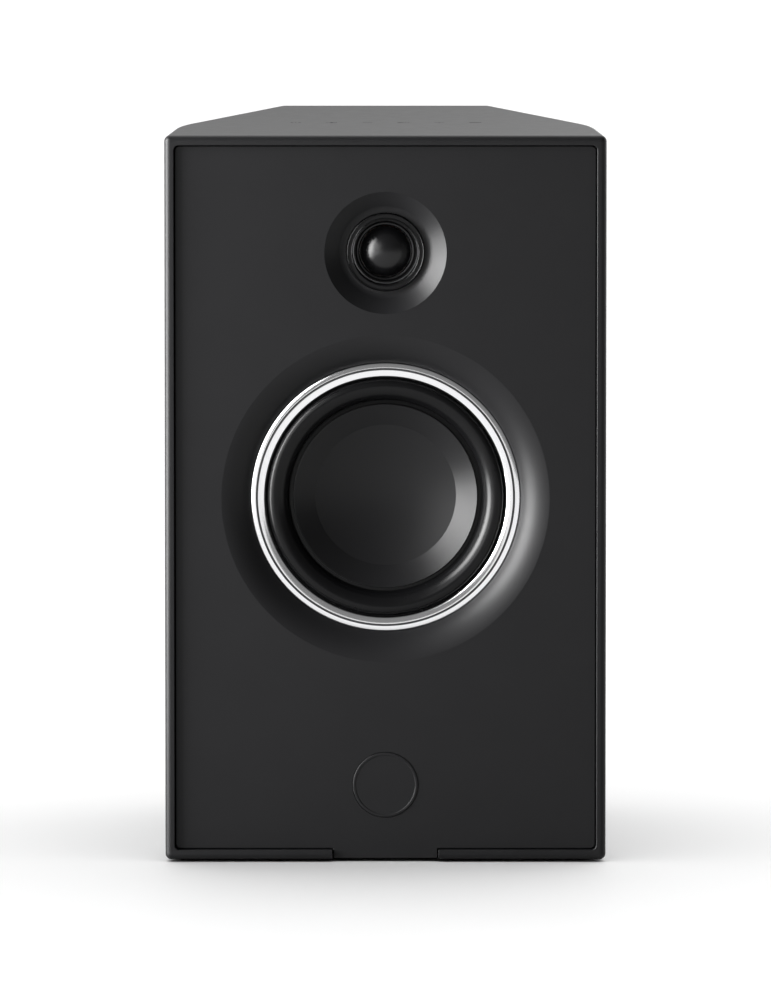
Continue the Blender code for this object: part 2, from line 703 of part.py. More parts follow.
# ---------------------------------------------------------------- woofer
def build_trim_ring():
    """A bright ring: a round outer bead, a fine groove and a slope down to the surround, hollow behind."""
    front = RING_BACK - RING_HEIGHT
    groove = RING_RADIUS - RING_WIDTH * 2 / 5
    roof = front + GROOVE_DEPTH + RING_SKIRT
    bead = [
        (RING_RADIUS, front + BEAD_DROP),
        (RING_RADIUS - BEAD_DROP / 3, front + BEAD_DROP / 3),
        (RING_RADIUS - BEAD_DROP, front),
        (groove + GROOVE_WIDTH / 2, front + GROOVE_DEPTH / 3),
        (groove, front + GROOVE_DEPTH),
        (groove - GROOVE_WIDTH / 2, front + GROOVE_DEPTH / 2),
    ]
    slope = [(RING_BORE, RING_BACK - BEAD_DROP), (RING_BORE, RING_BACK)]
    hollow = [
        (RING_BORE + RING_SKIRT, RING_BACK),
        (groove, roof),
        (RING_RADIUS - RING_SKIRT, roof),
        (RING_RADIUS - RING_SKIRT, RING_BACK),
        (RING_RADIUS, RING_BACK),
    ]
    lathe("woofer_trim_ring", bead + slope + hollow, "bright_metal", z=WOOFER_Z)


def band(points, thickness):
    """A closed outline from a line of (radius, depth) points and the same line moved back."""
    return points + [(radius, depth + thickness) for radius, depth in reversed(points)]


def half_roll(middle, reach, height, thickness, level, drop=0.0):
    """Front and back lines (radius, depth) of a half roll. Its inner foot lies a drop behind its outer."""
    turn = [pi * k / ROLL_STEPS for k in range(ROLL_STEPS + 1)]
    feet = [level + drop * (1 - cos(a)) / 2 for a in turn]
    front = [(middle + reach * cos(a), foot - height * sin(a)) for a, foot in zip(turn, feet)]
    inside, top = reach - thickness, height - thickness
    back = [(middle + inside * cos(a), foot - top * sin(a)) for a, foot in zip(turn, feet)]
    return front, back[::-1]


def build_surround():
    """A half roll between an outer lip on the flange and an inner lip that slopes behind the cone."""
    level = LIP_DEPTH + ROLL_THICKNESS
    middle = (ROLL_OUTER + ROLL_INNER) / 2
    front, back = half_roll(middle, ROLL_WIDTH / 2, ROLL_HEIGHT, ROLL_THICKNESS, level, CONE_DROP)
    outer = ROLL_OUTER + LIP_WIDTH
    behind = CONE_DEPTH + CONE_THICKNESS + 2 * GAP
    inner, deepest = CONE_RADIUS - LIP_WIDTH, behind + LIP_WIDTH * CONE_SLOPE
    outer_lip = [(outer, level), (outer, LIP_DEPTH), (ROLL_OUTER, LIP_DEPTH)]
    inner_lip = [
        (CONE_RADIUS, behind),
        (inner, deepest),
        (inner, deepest + ROLL_THICKNESS),
        (CONE_RADIUS, behind + ROLL_THICKNESS),
    ]
    profile = outer_lip + front[1:] + inner_lip + back
    lathe("woofer_surround", profile, "rubber", z=WOOFER_Z)


def cone_front():
    """The cone's face (radius, depth): a dished cap inside a steeper band."""
    cap = CONE_RADIUS - CONE_BAND_WIDTH
    rim = CONE_DEPTH + CONE_BAND_DEPTH
    share = [k / CONE_STEPS for k in range(CONE_STEPS + 1)]
    return [(cap * t, rim + CONE_CAP_DEPTH * (1 - t * t)) for t in share] + [(CONE_RADIUS, CONE_DEPTH)]


def build_woofer():
    """Everything from the trim ring to the back of the motor, whose depth it returns."""
    build_trim_ring()
    build_surround()
    lathe("woofer_cone", band(cone_front(), CONE_THICKNESS), "cone", z=WOOFER_Z)
    build_basket()
    former_outer = COIL_RADIUS + FORMER_THICKNESS
    winding = former_outer + GAP
    build_spider(winding)

    front = FLANGE_FRONT + BASKET_DEPTH + GAP
    back = front + TOP_PLATE_THICKNESS
    coil_front, coil_back = (front + back - WINDING_HEIGHT) / 2, (front + back + WINDING_HEIGHT) / 2
    share = former_outer / (CONE_RADIUS - CONE_BAND_WIDTH)
    behind_cap = CONE_DEPTH + CONE_BAND_DEPTH + CONE_CAP_DEPTH * (1 - share**2) + CONE_THICKNESS
    start = behind_cap + 2 * GAP
    ring("woofer_coil_former", COIL_RADIUS, former_outer, start, coil_back, "aluminium", WOOFER_Z)
    outer = winding + WINDING_THICKNESS
    ring("woofer_voice_coil", winding, outer, coil_front, coil_back, "copper", WOOFER_Z)

    ring("woofer_top_plate", outer + 2 * GAP, TOP_PLATE_RADIUS, front, back, "steel", WOOFER_Z)
    magnet_back = back + GAP + MAGNET_THICKNESS
    ring("woofer_magnet", MAGNET_BORE, MAGNET_RADIUS, back + GAP, magnet_back, "ferrite", WOOFER_Z)
    plate = (magnet_back + GAP, magnet_back + GAP + YOKE_THICKNESS)
    yoke("woofer_yoke", COIL_RADIUS - FIT, TOP_PLATE_RADIUS, front, *plate, WOOFER_Z)
    return plate[1]


def build_basket():
    """The woofer's frame: a flange, a conical wall with six windows, a ledge and a seat for the magnet."""
    outer = BASKET_BORE - GAP
    inner = outer - BASKET_WALL
    step, ledge = FLANGE_FRONT + FLANGE_STEP, FLANGE_FRONT + SPIDER_DEPTH
    base = FLANGE_FRONT + BASKET_DEPTH
    rebate = ROLL_OUTER + LIP_WIDTH + GAP
    inside = [
        (RING_RADIUS, FLANGE_FRONT),
        (rebate, FLANGE_FRONT),
        (rebate, step),
        (inner, step),
        (SPIDER_RADIUS, ledge),
        (SPIDER_RADIUS - SPIDER_LEDGE, ledge),
        (SPIDER_RADIUS - SPIDER_LEDGE, ledge + BASKET_WALL),
        (MAGNET_BORE, base - BASKET_WALL),
    ]
    outside = [
        (MAGNET_BORE, base),
        (TOP_PLATE_RADIUS - BASKET_WALL, base),
        (SPIDER_RADIUS + BASKET_WALL, ledge + BASKET_WALL),
        (outer, FLANGE_BACK + BASKET_WALL),
        (outer, FLANGE_BACK),
        (RING_RADIUS, FLANGE_BACK),
    ]
    basket = lathe("woofer_basket", inside + outside, "black_plastic", z=WOOFER_Z)
    reach, half = 2 * RING_RADIUS, WINDOW_WIDTH / 2
    strip = [(-reach, -half), (reach, -half), (reach, half), (-reach, half)]
    front, back = FRONT_Y + BAFFLE_BACK + GAP, FRONT_Y + ledge - GAP
    for number in range(WINDOW_PAIRS):
        outline = turned(strip, number * 180 / WINDOW_PAIRS)
        name = f"cut_window_{number + 1}"
        cut(basket, prism(name, outline, front, back, "black_plastic", at=(0, 0, WOOFER_Z)))

    tip = FLANGE_BACK - SCREW_GRIP
    hole = (SCREW_RADIUS + GAP, tip - GAP, FLANGE_BACK + CUT / 4, "steel")
    for number, (x, z) in enumerate(woofer_screw_places(), 1):
        cut(basket, disc(f"cut_flange_{number}", *hole, x, z, SMALL))
        screw(f"woofer_screw_{number}", tip, BAFFLE_BACK + GAP, "steel", x, z)


def build_spider(inner):
    """A corrugated disc from the basket's ledge to the coil former."""
    ledge = FLANGE_FRONT + SPIDER_DEPTH
    seat = ledge - GAP - SPIDER_THICKNESS
    outer = SPIDER_RADIUS - GAP
    start = outer - SPIDER_LEDGE
    turns = 4 * SPIDER_WAVES
    line = [(outer, seat)]
    for k in range(turns + 1):
        wave = SPIDER_WAVE_HEIGHT * sin(pi / 2 * k)
        line.append((start + (inner - start) * k / turns, seat - SPIDER_WAVE_HEIGHT / 2 + wave / 2))
    lathe("woofer_spider", band(line, SPIDER_THICKNESS), "spider", z=WOOFER_Z, segments=MEDIUM)


def yoke(name, pole, plate, pole_front, front, back, z):
    """A round pole standing on a round back plate."""
    post = [(0, pole_front), (pole, pole_front), (pole, front)]
    lathe(name, post + [(plate, front), (plate, back), (0, back)], "steel", z=z)


# ---------------------------------------------------------------- tweeter
def build_tweeter():
    """Its bezel shows in the dish, and its motor lies in a pocket behind. Returns the motor's back."""
    front = RIM_DEPTH + DISH_DEPTH + DISH_WEB + GAP
    back = front + TWEETER_FLANGE
    build_tweeter_faceplate(front, back)
    base = back - GAP
    build_tweeter_surround(base)

    radius = (DOME_RADIUS**2 + DOME_HEIGHT**2) / (2 * DOME_HEIGHT)
    line = []
    for k in range(DOME_STEPS + 1):
        r = DOME_RADIUS * k / DOME_STEPS
        rise = sqrt(radius**2 - r**2) - radius + DOME_HEIGHT
        line.append((r, base - GAP - DOME_THICKNESS - rise))
    lathe("tweeter_dome", band(line, DOME_THICKNESS), "silk", z=TWEETER_Z, segments=MEDIUM)

    inner = DOME_RADIUS - TWEETER_COIL_THICKNESS
    end = base + TWEETER_COIL_HEIGHT
    ring("tweeter_voice_coil", inner, DOME_RADIUS, base, end, "copper", TWEETER_Z)
    plate, plate_back = back + GAP, back + GAP + TWEETER_PLATE
    hole = DOME_RADIUS + 2 * GAP
    ring("tweeter_top_plate", hole, TWEETER_PLATE_RADIUS, plate, plate_back, "steel", TWEETER_Z)
    bore, outer = TWEETER_MAGNET_BORE, TWEETER_PLATE_RADIUS - GAP
    magnet_back = plate_back + GAP + TWEETER_MAGNET
    ring("tweeter_magnet", bore, outer, plate_back + GAP, magnet_back, "ferrite", TWEETER_Z)
    cup = (magnet_back + GAP, magnet_back + GAP + TWEETER_YOKE)
    yoke("tweeter_yoke", inner - FIT, TWEETER_PLATE_RADIUS, plate, *cup, TWEETER_Z)
    return cup[1]


def build_tweeter_faceplate(front, back):
    """A bezel on a flange. The flange bears on the web behind the dish."""
    face = RIM_DEPTH + DISH_DEPTH - BEZEL_PROUD
    profile = [
        (BEZEL_RADIUS - BEZEL_CHAMFER, face),
        (BEZEL_RADIUS, face + BEZEL_CHAMFER),
        (BEZEL_RADIUS, front),
        (TWEETER_FLANGE_RADIUS, front),
        (TWEETER_FLANGE_RADIUS, back),
        (TWEETER_BORE, back),
        (TWEETER_BORE, face + BEZEL_CHAMFER),
        (TWEETER_BORE + BEZEL_CHAMFER, face),
    ]
    lathe("tweeter_faceplate", profile, "black_plastic", z=TWEETER_Z)


def build_tweeter_surround(base):
    """A small half roll round the dome, with a lip inside the faceplate's bore."""
    reach = TWEETER_ROLL_WIDTH / 2
    front, back = half_roll(TWEETER_ROLL - reach, reach, reach, DOME_THICKNESS, base)
    outer = TWEETER_BORE - GAP
    lip = [(outer, base), (outer, base - DOME_THICKNESS), (TWEETER_ROLL, base - DOME_THICKNESS)]
    lathe("tweeter_surround", lip + front[2:] + back, "silk", z=TWEETER_Z, segments=MEDIUM)


# ---------------------------------------------------------------- port
def build_port():
    """A tube that flares at both ends, with a collar let into the back face."""
    mouth, tube = PORT_RADIUS + PORT_MOUTH, PORT_RADIUS + PORT_WALL
    collar = mouth + PORT_COLLAR
    start = DEPTH - PORT_LENGTH
    flare = PORT_MOUTH_LENGTH
    quarter = [pi / 2 * k / PORT_STEPS for k in range(PORT_STEPS + 1)]
    back = [(mouth - PORT_MOUTH * sin(a), DEPTH - flare * (1 - cos(a))) for a in quarter]
    front = [(r, start + DEPTH - d) for r, d in reversed(back)]
    shoulder = DEPTH - PORT_COLLAR_THICKNESS
    outside = [
        (mouth, start + PORT_WALL),
        (tube, start + flare),
        (tube, DEPTH - flare),
        (mouth, shoulder - PORT_COLLAR_THICKNESS),
        (mouth, shoulder),
        (collar, shoulder),
        (collar, DEPTH),
    ]
    profile = back + front + outside
    lathe("port_tube", profile, "black_plastic", z=PORT_Z, segments=MEDIUM)


# ---------------------------------------------------------------- rear plate
def on_plate(place):
    """A place on the rear plate as (x, z) in the cabinet."""
    return place[0], PLATE_Z + place[1]


def block(name, x, z, width, height, front, back, look, corner=0.0):
    """A box between two depths, centred on x, z."""
    outline = rectangle(width, z - height / 2, z + height / 2, corner, across=x)
    return prism(name, outline, FRONT_Y + front, FRONT_Y + back, look)


def flanged(name, x, z, outer, body, front, seat, end, corner):
    """A block whose flange runs from the seat to the end, with a narrower body in front of the seat."""
    made = block(name, x, z, *outer, front, end, "black_plastic", corner)
    sleeve = block(f"cut_{name}_sleeve", x, z, *(2 * size for size in outer), front - CUT, seat, "steel")
    cut(sleeve, block(f"cut_{name}_body", x, z, *body, front - 2 * CUT, seat + CUT, "steel"))
    return cut(made, sleeve)


def build_rear_plate():
    low, high = PLATE_Z, PLATE_Z + PLATE_HEIGHT
    outline = rectangle(PLATE_WIDTH, low, high, PLATE_CORNER)
    plate = prism("rear_plate", outline, FRONT_Y + PLATE_FRONT, FRONT_Y + PLATE_BACK, "aluminium")
    shell = bpy.data.objects["cabinet_shell"]
    tip, seat = PLATE_FRONT - SCREW_LENGTH, PLATE_BACK + GAP
    across = PLATE_WIDTH / 2 - PLATE_SCREW_INSET
    corners = [(x, z) for z in (low, high) for x in (-across, across)]
    for number, (x, edge) in enumerate(corners, 1):
        z = edge + PLATE_SCREW_INSET * (1 if edge == low else -1)
        cut(plate, disc(f"cut_plate_screw_{number}", SCREW_RADIUS + GAP, *THROUGH, "steel", x, z, SMALL))
        pilot = (SCREW_RADIUS + GAP, tip - GAP, PLATE_FRONT)
        cut(shell, disc(f"cut_wall_screw_{number}", *pilot, "steel", x, z, SMALL))
        screw(f"rear_screw_{number}", tip, seat, "steel", x, z)
    build_jacks(plate)
    build_posts(plate)
    build_sockets(plate)
    build_inlet(plate)
    build_switch(plate)
    build_button(plate)
    build_slider(plate)


def build_jacks(plate):
    """Three round signal jacks in a row, each standing on the board and passing through the plate."""
    seat = PLATE_BACK + GAP
    neck, end = seat + JACK_COLLAR_HEIGHT, seat + JACK_LENGTH
    profile = [
        (0, BOARD_BACK + GAP),
        (JACK_RADIUS, BOARD_BACK + GAP),
        (JACK_RADIUS, seat),
        (JACK_COLLAR, seat),
        (JACK_COLLAR, neck),
        (JACK_RADIUS, neck),
        (JACK_RADIUS, end),
        (JACK_BORE, end),
        (JACK_BORE, neck),
        (0, neck),
    ]
    jacks = {"line_in_left": "white_plastic", "line_in_right": "red_plastic", "sub_out": "black_plastic"}
    for number, (name, look) in enumerate(jacks.items()):
        x, z = on_plate(((number - 1) * JACK_SPACING, JACKS_UP))
        cut(plate, disc(f"cut_{name}", JACK_RADIUS + FIT, *THROUGH, "steel", x, z))
        lathe(f"{name}_jack", profile, look, x, z, MEDIUM)


def build_posts(plate):
    """Two binding posts. Each has a fixed collar and stud, and a cap that turns on the stud."""
    seat = PLATE_BACK + GAP
    top = seat + POST_COLLAR_HEIGHT
    cap, end = top + FIT, DEPTH + POST_STANDOUT
    stud_end = end - POST_SOCKET_DEPTH
    base = [
        (0, BOARD_BACK + GAP),
        (POST_STUD, BOARD_BACK + GAP),
        (POST_STUD, seat),
        (POST_COLLAR, seat),
        (POST_COLLAR, top),
        (POST_STUD, top),
        (POST_STUD, stud_end),
        (0, stud_end),
    ]
    grip = [
        (POST_STUD + FIT, cap),
        (POST_CAP_RADIUS, cap),
        (POST_CAP_RADIUS, end - POST_CHAMFER),
        (POST_CAP_RADIUS - POST_CHAMFER, end),
        (POST_SOCKET, end),
        (POST_SOCKET, stud_end + FIT),
        (POST_STUD + FIT, stud_end + FIT),
    ]
    for side, name in ((-1, "red"), (1, "black")):
        x, z = on_plate((side * POST_SPACING / 2, POSTS_UP))
        cut(plate, disc(f"cut_post_{name}", POST_STUD + FIT, *THROUGH, "steel", x, z))
        lathe(f"terminal_base_{name}", base, "steel", x, z, MEDIUM)
        lathe(f"terminal_cap_{name}", grip, f"{name}_plastic", x, z, MEDIUM)


def build_sockets(plate):
    """The flat digital socket and the square optical one, each with an open mouth."""
    end = PLATE_BACK + SOCKET_STANDOUT
    mouth = (end - SOCKET_POCKET, end + CUT, "steel")
    sockets = (
        ("digital", DIGITAL_AT, DIGITAL_WIDTH, DIGITAL_HEIGHT, DIGITAL_WALL, "steel"),
        ("optical", OPTICAL_AT, OPTICAL_SIZE, OPTICAL_SIZE, OPTICAL_WALL, "black_plastic"),
    )
    for name, place, width, height, wall, look in sockets:
        x, z = on_plate(place)
        cut(plate, block(f"cut_{name}", x, z, width + 2 * GAP, height + 2 * GAP, *THROUGH, "steel"))
        socket = block(f"{name}_socket", x, z, width, height, BOARD_BACK + GAP, end, look)
        cut(socket, block(f"cut_{name}_mouth", x, z, width - 2 * wall, height - 2 * wall, *mouth))


def build_inlet(plate):
    """Two-pin mains inlet: a flanged block whose mouth is a slot with round ends, and two pins inside."""
    x, z = on_plate(INLET_AT)
    body = (INLET_WIDTH - 2 * INLET_BODY_INSET, INLET_HEIGHT - 2 * INLET_BODY_INSET)
    cut(plate, block("cut_inlet", x, z, body[0] + 2 * GAP, body[1] + 2 * GAP, *THROUGH, "steel"))
    seat = PLATE_BACK + GAP
    end = seat + BEZEL_HEIGHT
    front, floor = end - INLET_BODY_DEPTH, end - INLET_MOUTH_DEPTH
    outer = (INLET_WIDTH, INLET_HEIGHT)
    inlet = flanged("mains_inlet", x, z, outer, body, front, seat, end, INLET_CORNER)
    round_end = INLET_MOUTH_HEIGHT / 2 - WELD
    size = (INLET_MOUTH_WIDTH, INLET_MOUTH_HEIGHT)
    mouth = block("cut_inlet_mouth", x, z, *size, floor, end + CUT, "steel", round_end)
    for number, side in enumerate((-1, 1), 1):
        pin = (PIN_RADIUS, floor - CUT / 4, floor + PIN_LENGTH, "steel", x + side * PIN_SPACING / 2)
        cut(mouth, disc(f"cut_inlet_pin_{number}", *pin, z, SMALL))
    cut(inlet, mouth)


def build_switch(plate):
    """A framed rocker that rests with its upper end pressed in."""
    x, z = on_plate(SWITCH_AT)
    opening = (ROCKER_WIDTH + 4 * GAP, ROCKER_HEIGHT + 6 * GAP)
    outer = tuple(size + 2 * SWITCH_BORDER for size in opening)
    body = tuple(size + SWITCH_BORDER for size in opening)
    cut(plate, block("cut_switch", x, z, body[0] + 2 * GAP, body[1] + 2 * GAP, *THROUGH, "steel"))
    seat = PLATE_BACK + GAP
    end = seat + BEZEL_HEIGHT
    frame = flanged("power_switch_frame", x, z, outer, body, end - SWITCH_DEPTH, seat, end, BEZEL_HEIGHT)
    cut(frame, block("cut_switch_mouth", x, z, *opening, end - SWITCH_POCKET, end + CUT, "steel"))
    half, foot = ROCKER_HEIGHT / 2, ROCKER_HEIGHT / 2 - 2 * ROCKER_TUCK
    outline = [
        (ROCKER_FACE + ROCKER_DISH, -half),
        (ROCKER_FACE, 0.0),
        (ROCKER_FACE + ROCKER_DISH, half),
        (0.0, half - ROCKER_TUCK / 2),
        (-ROCKER_DEPTH, foot),
        (-ROCKER_DEPTH, -foot),
        (0.0, ROCKER_TUCK / 2 - half),
    ]
    hinge = (x, FRONT_Y + seat, z)
    side = ROCKER_WIDTH / 2
    prism("power_rocker", turned(outline, ROCKER_TRAVEL / 2), -side, side, "black_plastic", "X", hinge)


def build_button(plate):
    """A small push button, held behind the plate by its flange, and the switch that its stem presses."""
    x, z = on_plate(BUTTON_AT)
    cut(plate, disc("cut_button", BUTTON_RADIUS + FIT, *THROUGH, "steel", x, z))
    switch_back = BOARD_BACK + GAP + SWITCH_BODY_DEPTH
    size = (SWITCH_BODY_WIDTH, SWITCH_BODY_HEIGHT)
    block("pairing_switch_body", x, z, *size, BOARD_BACK + GAP, switch_back, "black_plastic")
    stem_end = switch_back + BUTTON_TRAVEL + GAP
    flange, wide = PLATE_FRONT - GAP, BUTTON_RADIUS + BUTTON_FLANGE
    profile = [
        (0, stem_end),
        (BUTTON_RADIUS / 2, stem_end),
        (BUTTON_RADIUS / 2, flange - BUTTON_FLANGE),
        (wide, flange - BUTTON_FLANGE),
        (wide, flange),
        (BUTTON_RADIUS, flange),
        (BUTTON_RADIUS, PLATE_BACK + BUTTON_STANDOUT),
        (0, PLATE_BACK + BUTTON_STANDOUT),
    ]
    lathe("pairing_button", profile, "grey_plastic", x, z, MEDIUM)


def build_slider(plate):
    """The channel switch: a knob that slides along a slot, on a body that stands on the board."""
    x, z = on_plate(SLIDER_AT)
    middle = x + SLIDER_TRAVEL / 2
    slot = (SLIDER_WIDTH + SLIDER_TRAVEL + 2 * FIT, SLIDER_HEIGHT + 2 * FIT)
    cut(plate, block("cut_slider", middle, z, *slot, *THROUGH, "steel"))
    foot, knob = PLATE_FRONT - GAP, PLATE_BACK + SLIDER_STANDOUT
    half, wide = SLIDER_WIDTH / 2, SLIDER_WIDTH / 2 + SLIDER_FOOT
    outline = [
        (-wide, foot - SLIDER_FOOT),
        (wide, foot - SLIDER_FOOT),
        (wide, foot),
        (half, foot),
        (half, knob),
        (-half, knob),
        (-half, foot),
        (-wide, foot),
    ]
    low, high = z - SLIDER_HEIGHT / 2, z + SLIDER_HEIGHT / 2
    prism("channel_slider", outline, low, high, "grey_plastic", "Z", (x, FRONT_Y, 0))
    size = (2 * wide + SLIDER_TRAVEL, SWITCH_BODY_HEIGHT)
    back = foot - SLIDER_FOOT - GAP
    block("channel_switch_body", middle, z, *size, BOARD_BACK + GAP, back, "steel")


# ---------------------------------------------------------------- electronics
def build_board():
    """The main board, with a cut-out behind the mains inlet, and the large pieces on its front."""
    middle = BOARD_Z + BOARD_HEIGHT / 2
    size = (BOARD_WIDTH, BOARD_HEIGHT, BOARD_FRONT, BOARD_BACK)
    board = block("main_board", 0, middle, *size, "board")
    x, z = on_plate(INLET_AT)
    reach = (BOARD_FRONT - CUT, BOARD_BACK + CUT)
    cut(board, block("cut_board_inlet", x, z, INLET_WIDTH, INLET_HEIGHT, *reach, "board"))
    front = BOARD_FRONT - GAP
    across, deep, high = TRANSFORMER
    z = BOARD_Z + TRANSFORMER_UP + high / 2
    block("power_transformer", 0, z, across, high, front - deep, front, "grey_plastic", TRANSFORMER_CORNER)
    z = BOARD_Z + CAPACITOR_UP + CAPACITOR_RADIUS
    disc("filter_capacitor", CAPACITOR_RADIUS, front - CAPACITOR_LENGTH, front, "black_plastic", 0, z)
    build_heatsink(front)


def build_heatsink(front):
    """A comb: a base on the board and fins that reach forwards."""
    across, deep, high = HEATSINK
    pitch = (across - HEATSINK_FIN) / (HEATSINK_FINS - 1)
    left, tips, roots = -across / 2, front - deep, front - HEATSINK_BASE
    outline = [(left, front), (left + across, front)]
    for k in reversed(range(HEATSINK_FINS)):
        edge = left + k * pitch
        outline += [(edge + HEATSINK_FIN, tips), (edge, tips)]
        if k:
            outline += [(edge, roots), (edge - pitch + HEATSINK_FIN, roots)]
    low = BOARD_Z + HEATSINK_UP - high / 2
    prism("heatsink", outline, low, low + high, "aluminium", "Z", (0, FRONT_Y, 0))


def smooth_route(points, spacing):
    """Points along a smooth curve through the given ones, about spacing apart."""
    route = [Vector(p) for p in points]
    padded = [2 * route[0] - route[1], *route, 2 * route[-1] - route[-2]]
    made = []
    for a, b, c, d in zip(padded, padded[1:], padded[2:], padded[3:]):
        steps = max(1, round((c - b).length / spacing))
        for t in (step / steps for step in range(steps)):
            bend = (2 * a - 5 * b + 4 * c - d) * t**2 + (3 * b - a - 3 * c + d) * t**3
            made.append(b + ((c - a) * t + bend) / 2)
    return [*made, route[-1]]


def lead(name, points):
    """A round two-core lead along a route."""
    curve = bpy.data.curves.new(name, "CURVE")
    curve.dimensions = "3D"
    curve.bevel_depth = LEAD_RADIUS
    curve.bevel_resolution = 2
    curve.use_fill_caps = True
    route = smooth_route(points, 5 * LEAD_RADIUS)
    spline = curve.splines.new("POLY")
    spline.points.add(len(route) - 1)
    for point, co in zip(spline.points, route):
        point.co = (*co, 1.0)
    curve.materials.append(finish("rubber"))
    obj = bpy.data.objects.new(name, curve)
    bpy.context.scene.collection.objects.link(obj)


def build_leads(woofer_back, tweeter_back):
    """Leads from the main board to the two drivers and to the touch board."""
    board = FRONT_Y + BOARD_FRONT - GAP
    top = BOARD_Z + BOARD_HEIGHT
    woofer = FRONT_Y + woofer_back + GAP
    tweeter = FRONT_Y + tweeter_back + GAP
    touch = FRONT_Y + TOUCH_BACK
    under = TOP_Z - TOUCH_SKIN - 2 * GAP - TOUCH_BOARD[2]
    beside = PORT_RADIUS + PORT_WALL + LEAD_CLEARANCE + LEAD_RADIUS
    edge = BOARD_WIDTH / 2 - LEAD_CLEARANCE
    below = PORT_Z - PORT_RADIUS - PORT_MOUTH - LEAD_CLEARANCE - LEAD_RADIUS
    mouth = FRONT_Y + DEPTH - PORT_LENGTH
    routes = {
        "woofer_lead": [
            (-0.018, board, top - 0.006),
            (-0.018, board - 0.012, top - 0.006),
            (-0.019, board - 0.040, top - 0.004),
            (-0.012, woofer + 0.024, WOOFER_Z + 0.016),
            (-0.006, woofer + 0.010, WOOFER_Z + 0.006),
            (-0.006, woofer, WOOFER_Z + 0.006),
        ],
        "tweeter_lead": [
            (-0.010, board, top - 0.004),
            (-0.010, board - 0.012, top - 0.003),
            (-0.011, board - 0.024, top + 0.002),
            (-0.012, mouth + 0.022, below - 0.006),
            (-0.010, mouth - 0.012, below),
            (-0.003, tweeter + 0.022, TWEETER_Z - 0.009),
            (-0.003, tweeter + 0.008, TWEETER_Z - 0.006),
            (-0.003, tweeter, TWEETER_Z - 0.006),
        ],
        "touch_lead": [
            (beside, touch, under),
            (beside, touch, under - 0.007),
            (beside, touch + 0.040, under - 0.018),
            (beside, board - 0.014, PORT_Z + 0.020),
            (beside, board - 0.010, PORT_Z - 0.020),
            (edge, board - 0.008, top - 0.008),
            (edge, board, top - 0.008),
        ],
    }
    for name, points in routes.items():
        lead(name, points)


def build_foam():
    """Wadding that lies on the cabinet's floor."""
    across, deep, high = FOAM
    low = BASE_Z + WALL + FOAM_CLEARANCE
    prism(
        "damping_foam",
        rectangle(across, low, low + high, 0.004),
        FRONT_Y + FOAM_DEPTH - deep / 2,
        FRONT_Y + FOAM_DEPTH + deep / 2,
        "foam",
    )


def main():
    clear_scene()
    build_cabinet()
    build_baffle()
    woofer_back = build_woofer()
    tweeter_back = build_tweeter()
    build_port()
    build_rear_plate()
    build_board()
    build_leads(woofer_back, tweeter_back)
    build_foam()


main()
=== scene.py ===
"""The looks of a powered two-way bookshelf loudspeaker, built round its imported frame.

The front faces -Y, +Z is up, and X = 0 is the middle of the cabinet. Every place is read from the frame's
own boxes, in metres. Each sub-assembly is a class that builds its pieces, dresses them and hands them to
the frame.
"""

from __future__ import annotations

import json
import logging
from dataclasses import dataclass, replace
from enum import Enum
from math import acos, cos, pi, radians, sin, sqrt, tan

import bmesh
import bpy
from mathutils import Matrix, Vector


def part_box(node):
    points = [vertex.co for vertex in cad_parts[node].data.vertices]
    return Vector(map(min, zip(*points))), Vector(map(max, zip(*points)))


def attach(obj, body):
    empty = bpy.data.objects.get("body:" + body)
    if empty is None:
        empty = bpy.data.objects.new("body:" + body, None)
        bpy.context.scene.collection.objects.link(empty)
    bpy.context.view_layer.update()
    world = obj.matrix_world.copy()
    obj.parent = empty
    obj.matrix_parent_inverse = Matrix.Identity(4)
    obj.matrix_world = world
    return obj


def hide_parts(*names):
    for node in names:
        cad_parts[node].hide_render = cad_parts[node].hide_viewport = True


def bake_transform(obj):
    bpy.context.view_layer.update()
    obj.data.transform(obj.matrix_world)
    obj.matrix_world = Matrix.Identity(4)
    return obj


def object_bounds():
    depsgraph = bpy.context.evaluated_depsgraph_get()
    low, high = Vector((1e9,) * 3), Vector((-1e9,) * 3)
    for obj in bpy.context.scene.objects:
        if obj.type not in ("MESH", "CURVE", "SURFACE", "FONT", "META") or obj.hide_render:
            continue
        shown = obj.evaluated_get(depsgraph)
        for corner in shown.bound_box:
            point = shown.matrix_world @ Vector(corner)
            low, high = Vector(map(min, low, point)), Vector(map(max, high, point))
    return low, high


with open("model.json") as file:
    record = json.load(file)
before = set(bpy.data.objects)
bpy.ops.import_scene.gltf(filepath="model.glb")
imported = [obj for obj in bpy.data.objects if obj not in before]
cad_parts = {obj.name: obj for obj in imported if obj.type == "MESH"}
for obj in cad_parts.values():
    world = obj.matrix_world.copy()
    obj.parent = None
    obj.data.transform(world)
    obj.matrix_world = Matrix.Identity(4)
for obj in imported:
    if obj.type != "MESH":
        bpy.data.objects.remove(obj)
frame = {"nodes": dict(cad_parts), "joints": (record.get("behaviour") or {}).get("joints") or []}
CAD_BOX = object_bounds()

log = logging.getLogger("loudspeaker")

Pair = tuple[float, float]
Colour = tuple[float, float, float]

GAP = 0.0003  # between pieces that touch
CUT = 0.010  # how far a cutter runs past what it cuts
WELD = 1e-6
FINE = 192  # sides of the large round pieces
MEDIUM = 96
SMALL = 48
EASE_STEPS = 5  # faces across a rounded edge


# ---------------------------------------------------------------- finishes
class Grain(Enum):
    """The fine surface texture of a finish."""

    SPECKLE = "sprayed or moulded, the same in all directions"
    TURNED = "fine rings about a driver's axis"
    BRUSHED = "fine lines across the loudspeaker"
    WEAVE = "crossed threads"
    CELLS = "open cells of a foam"


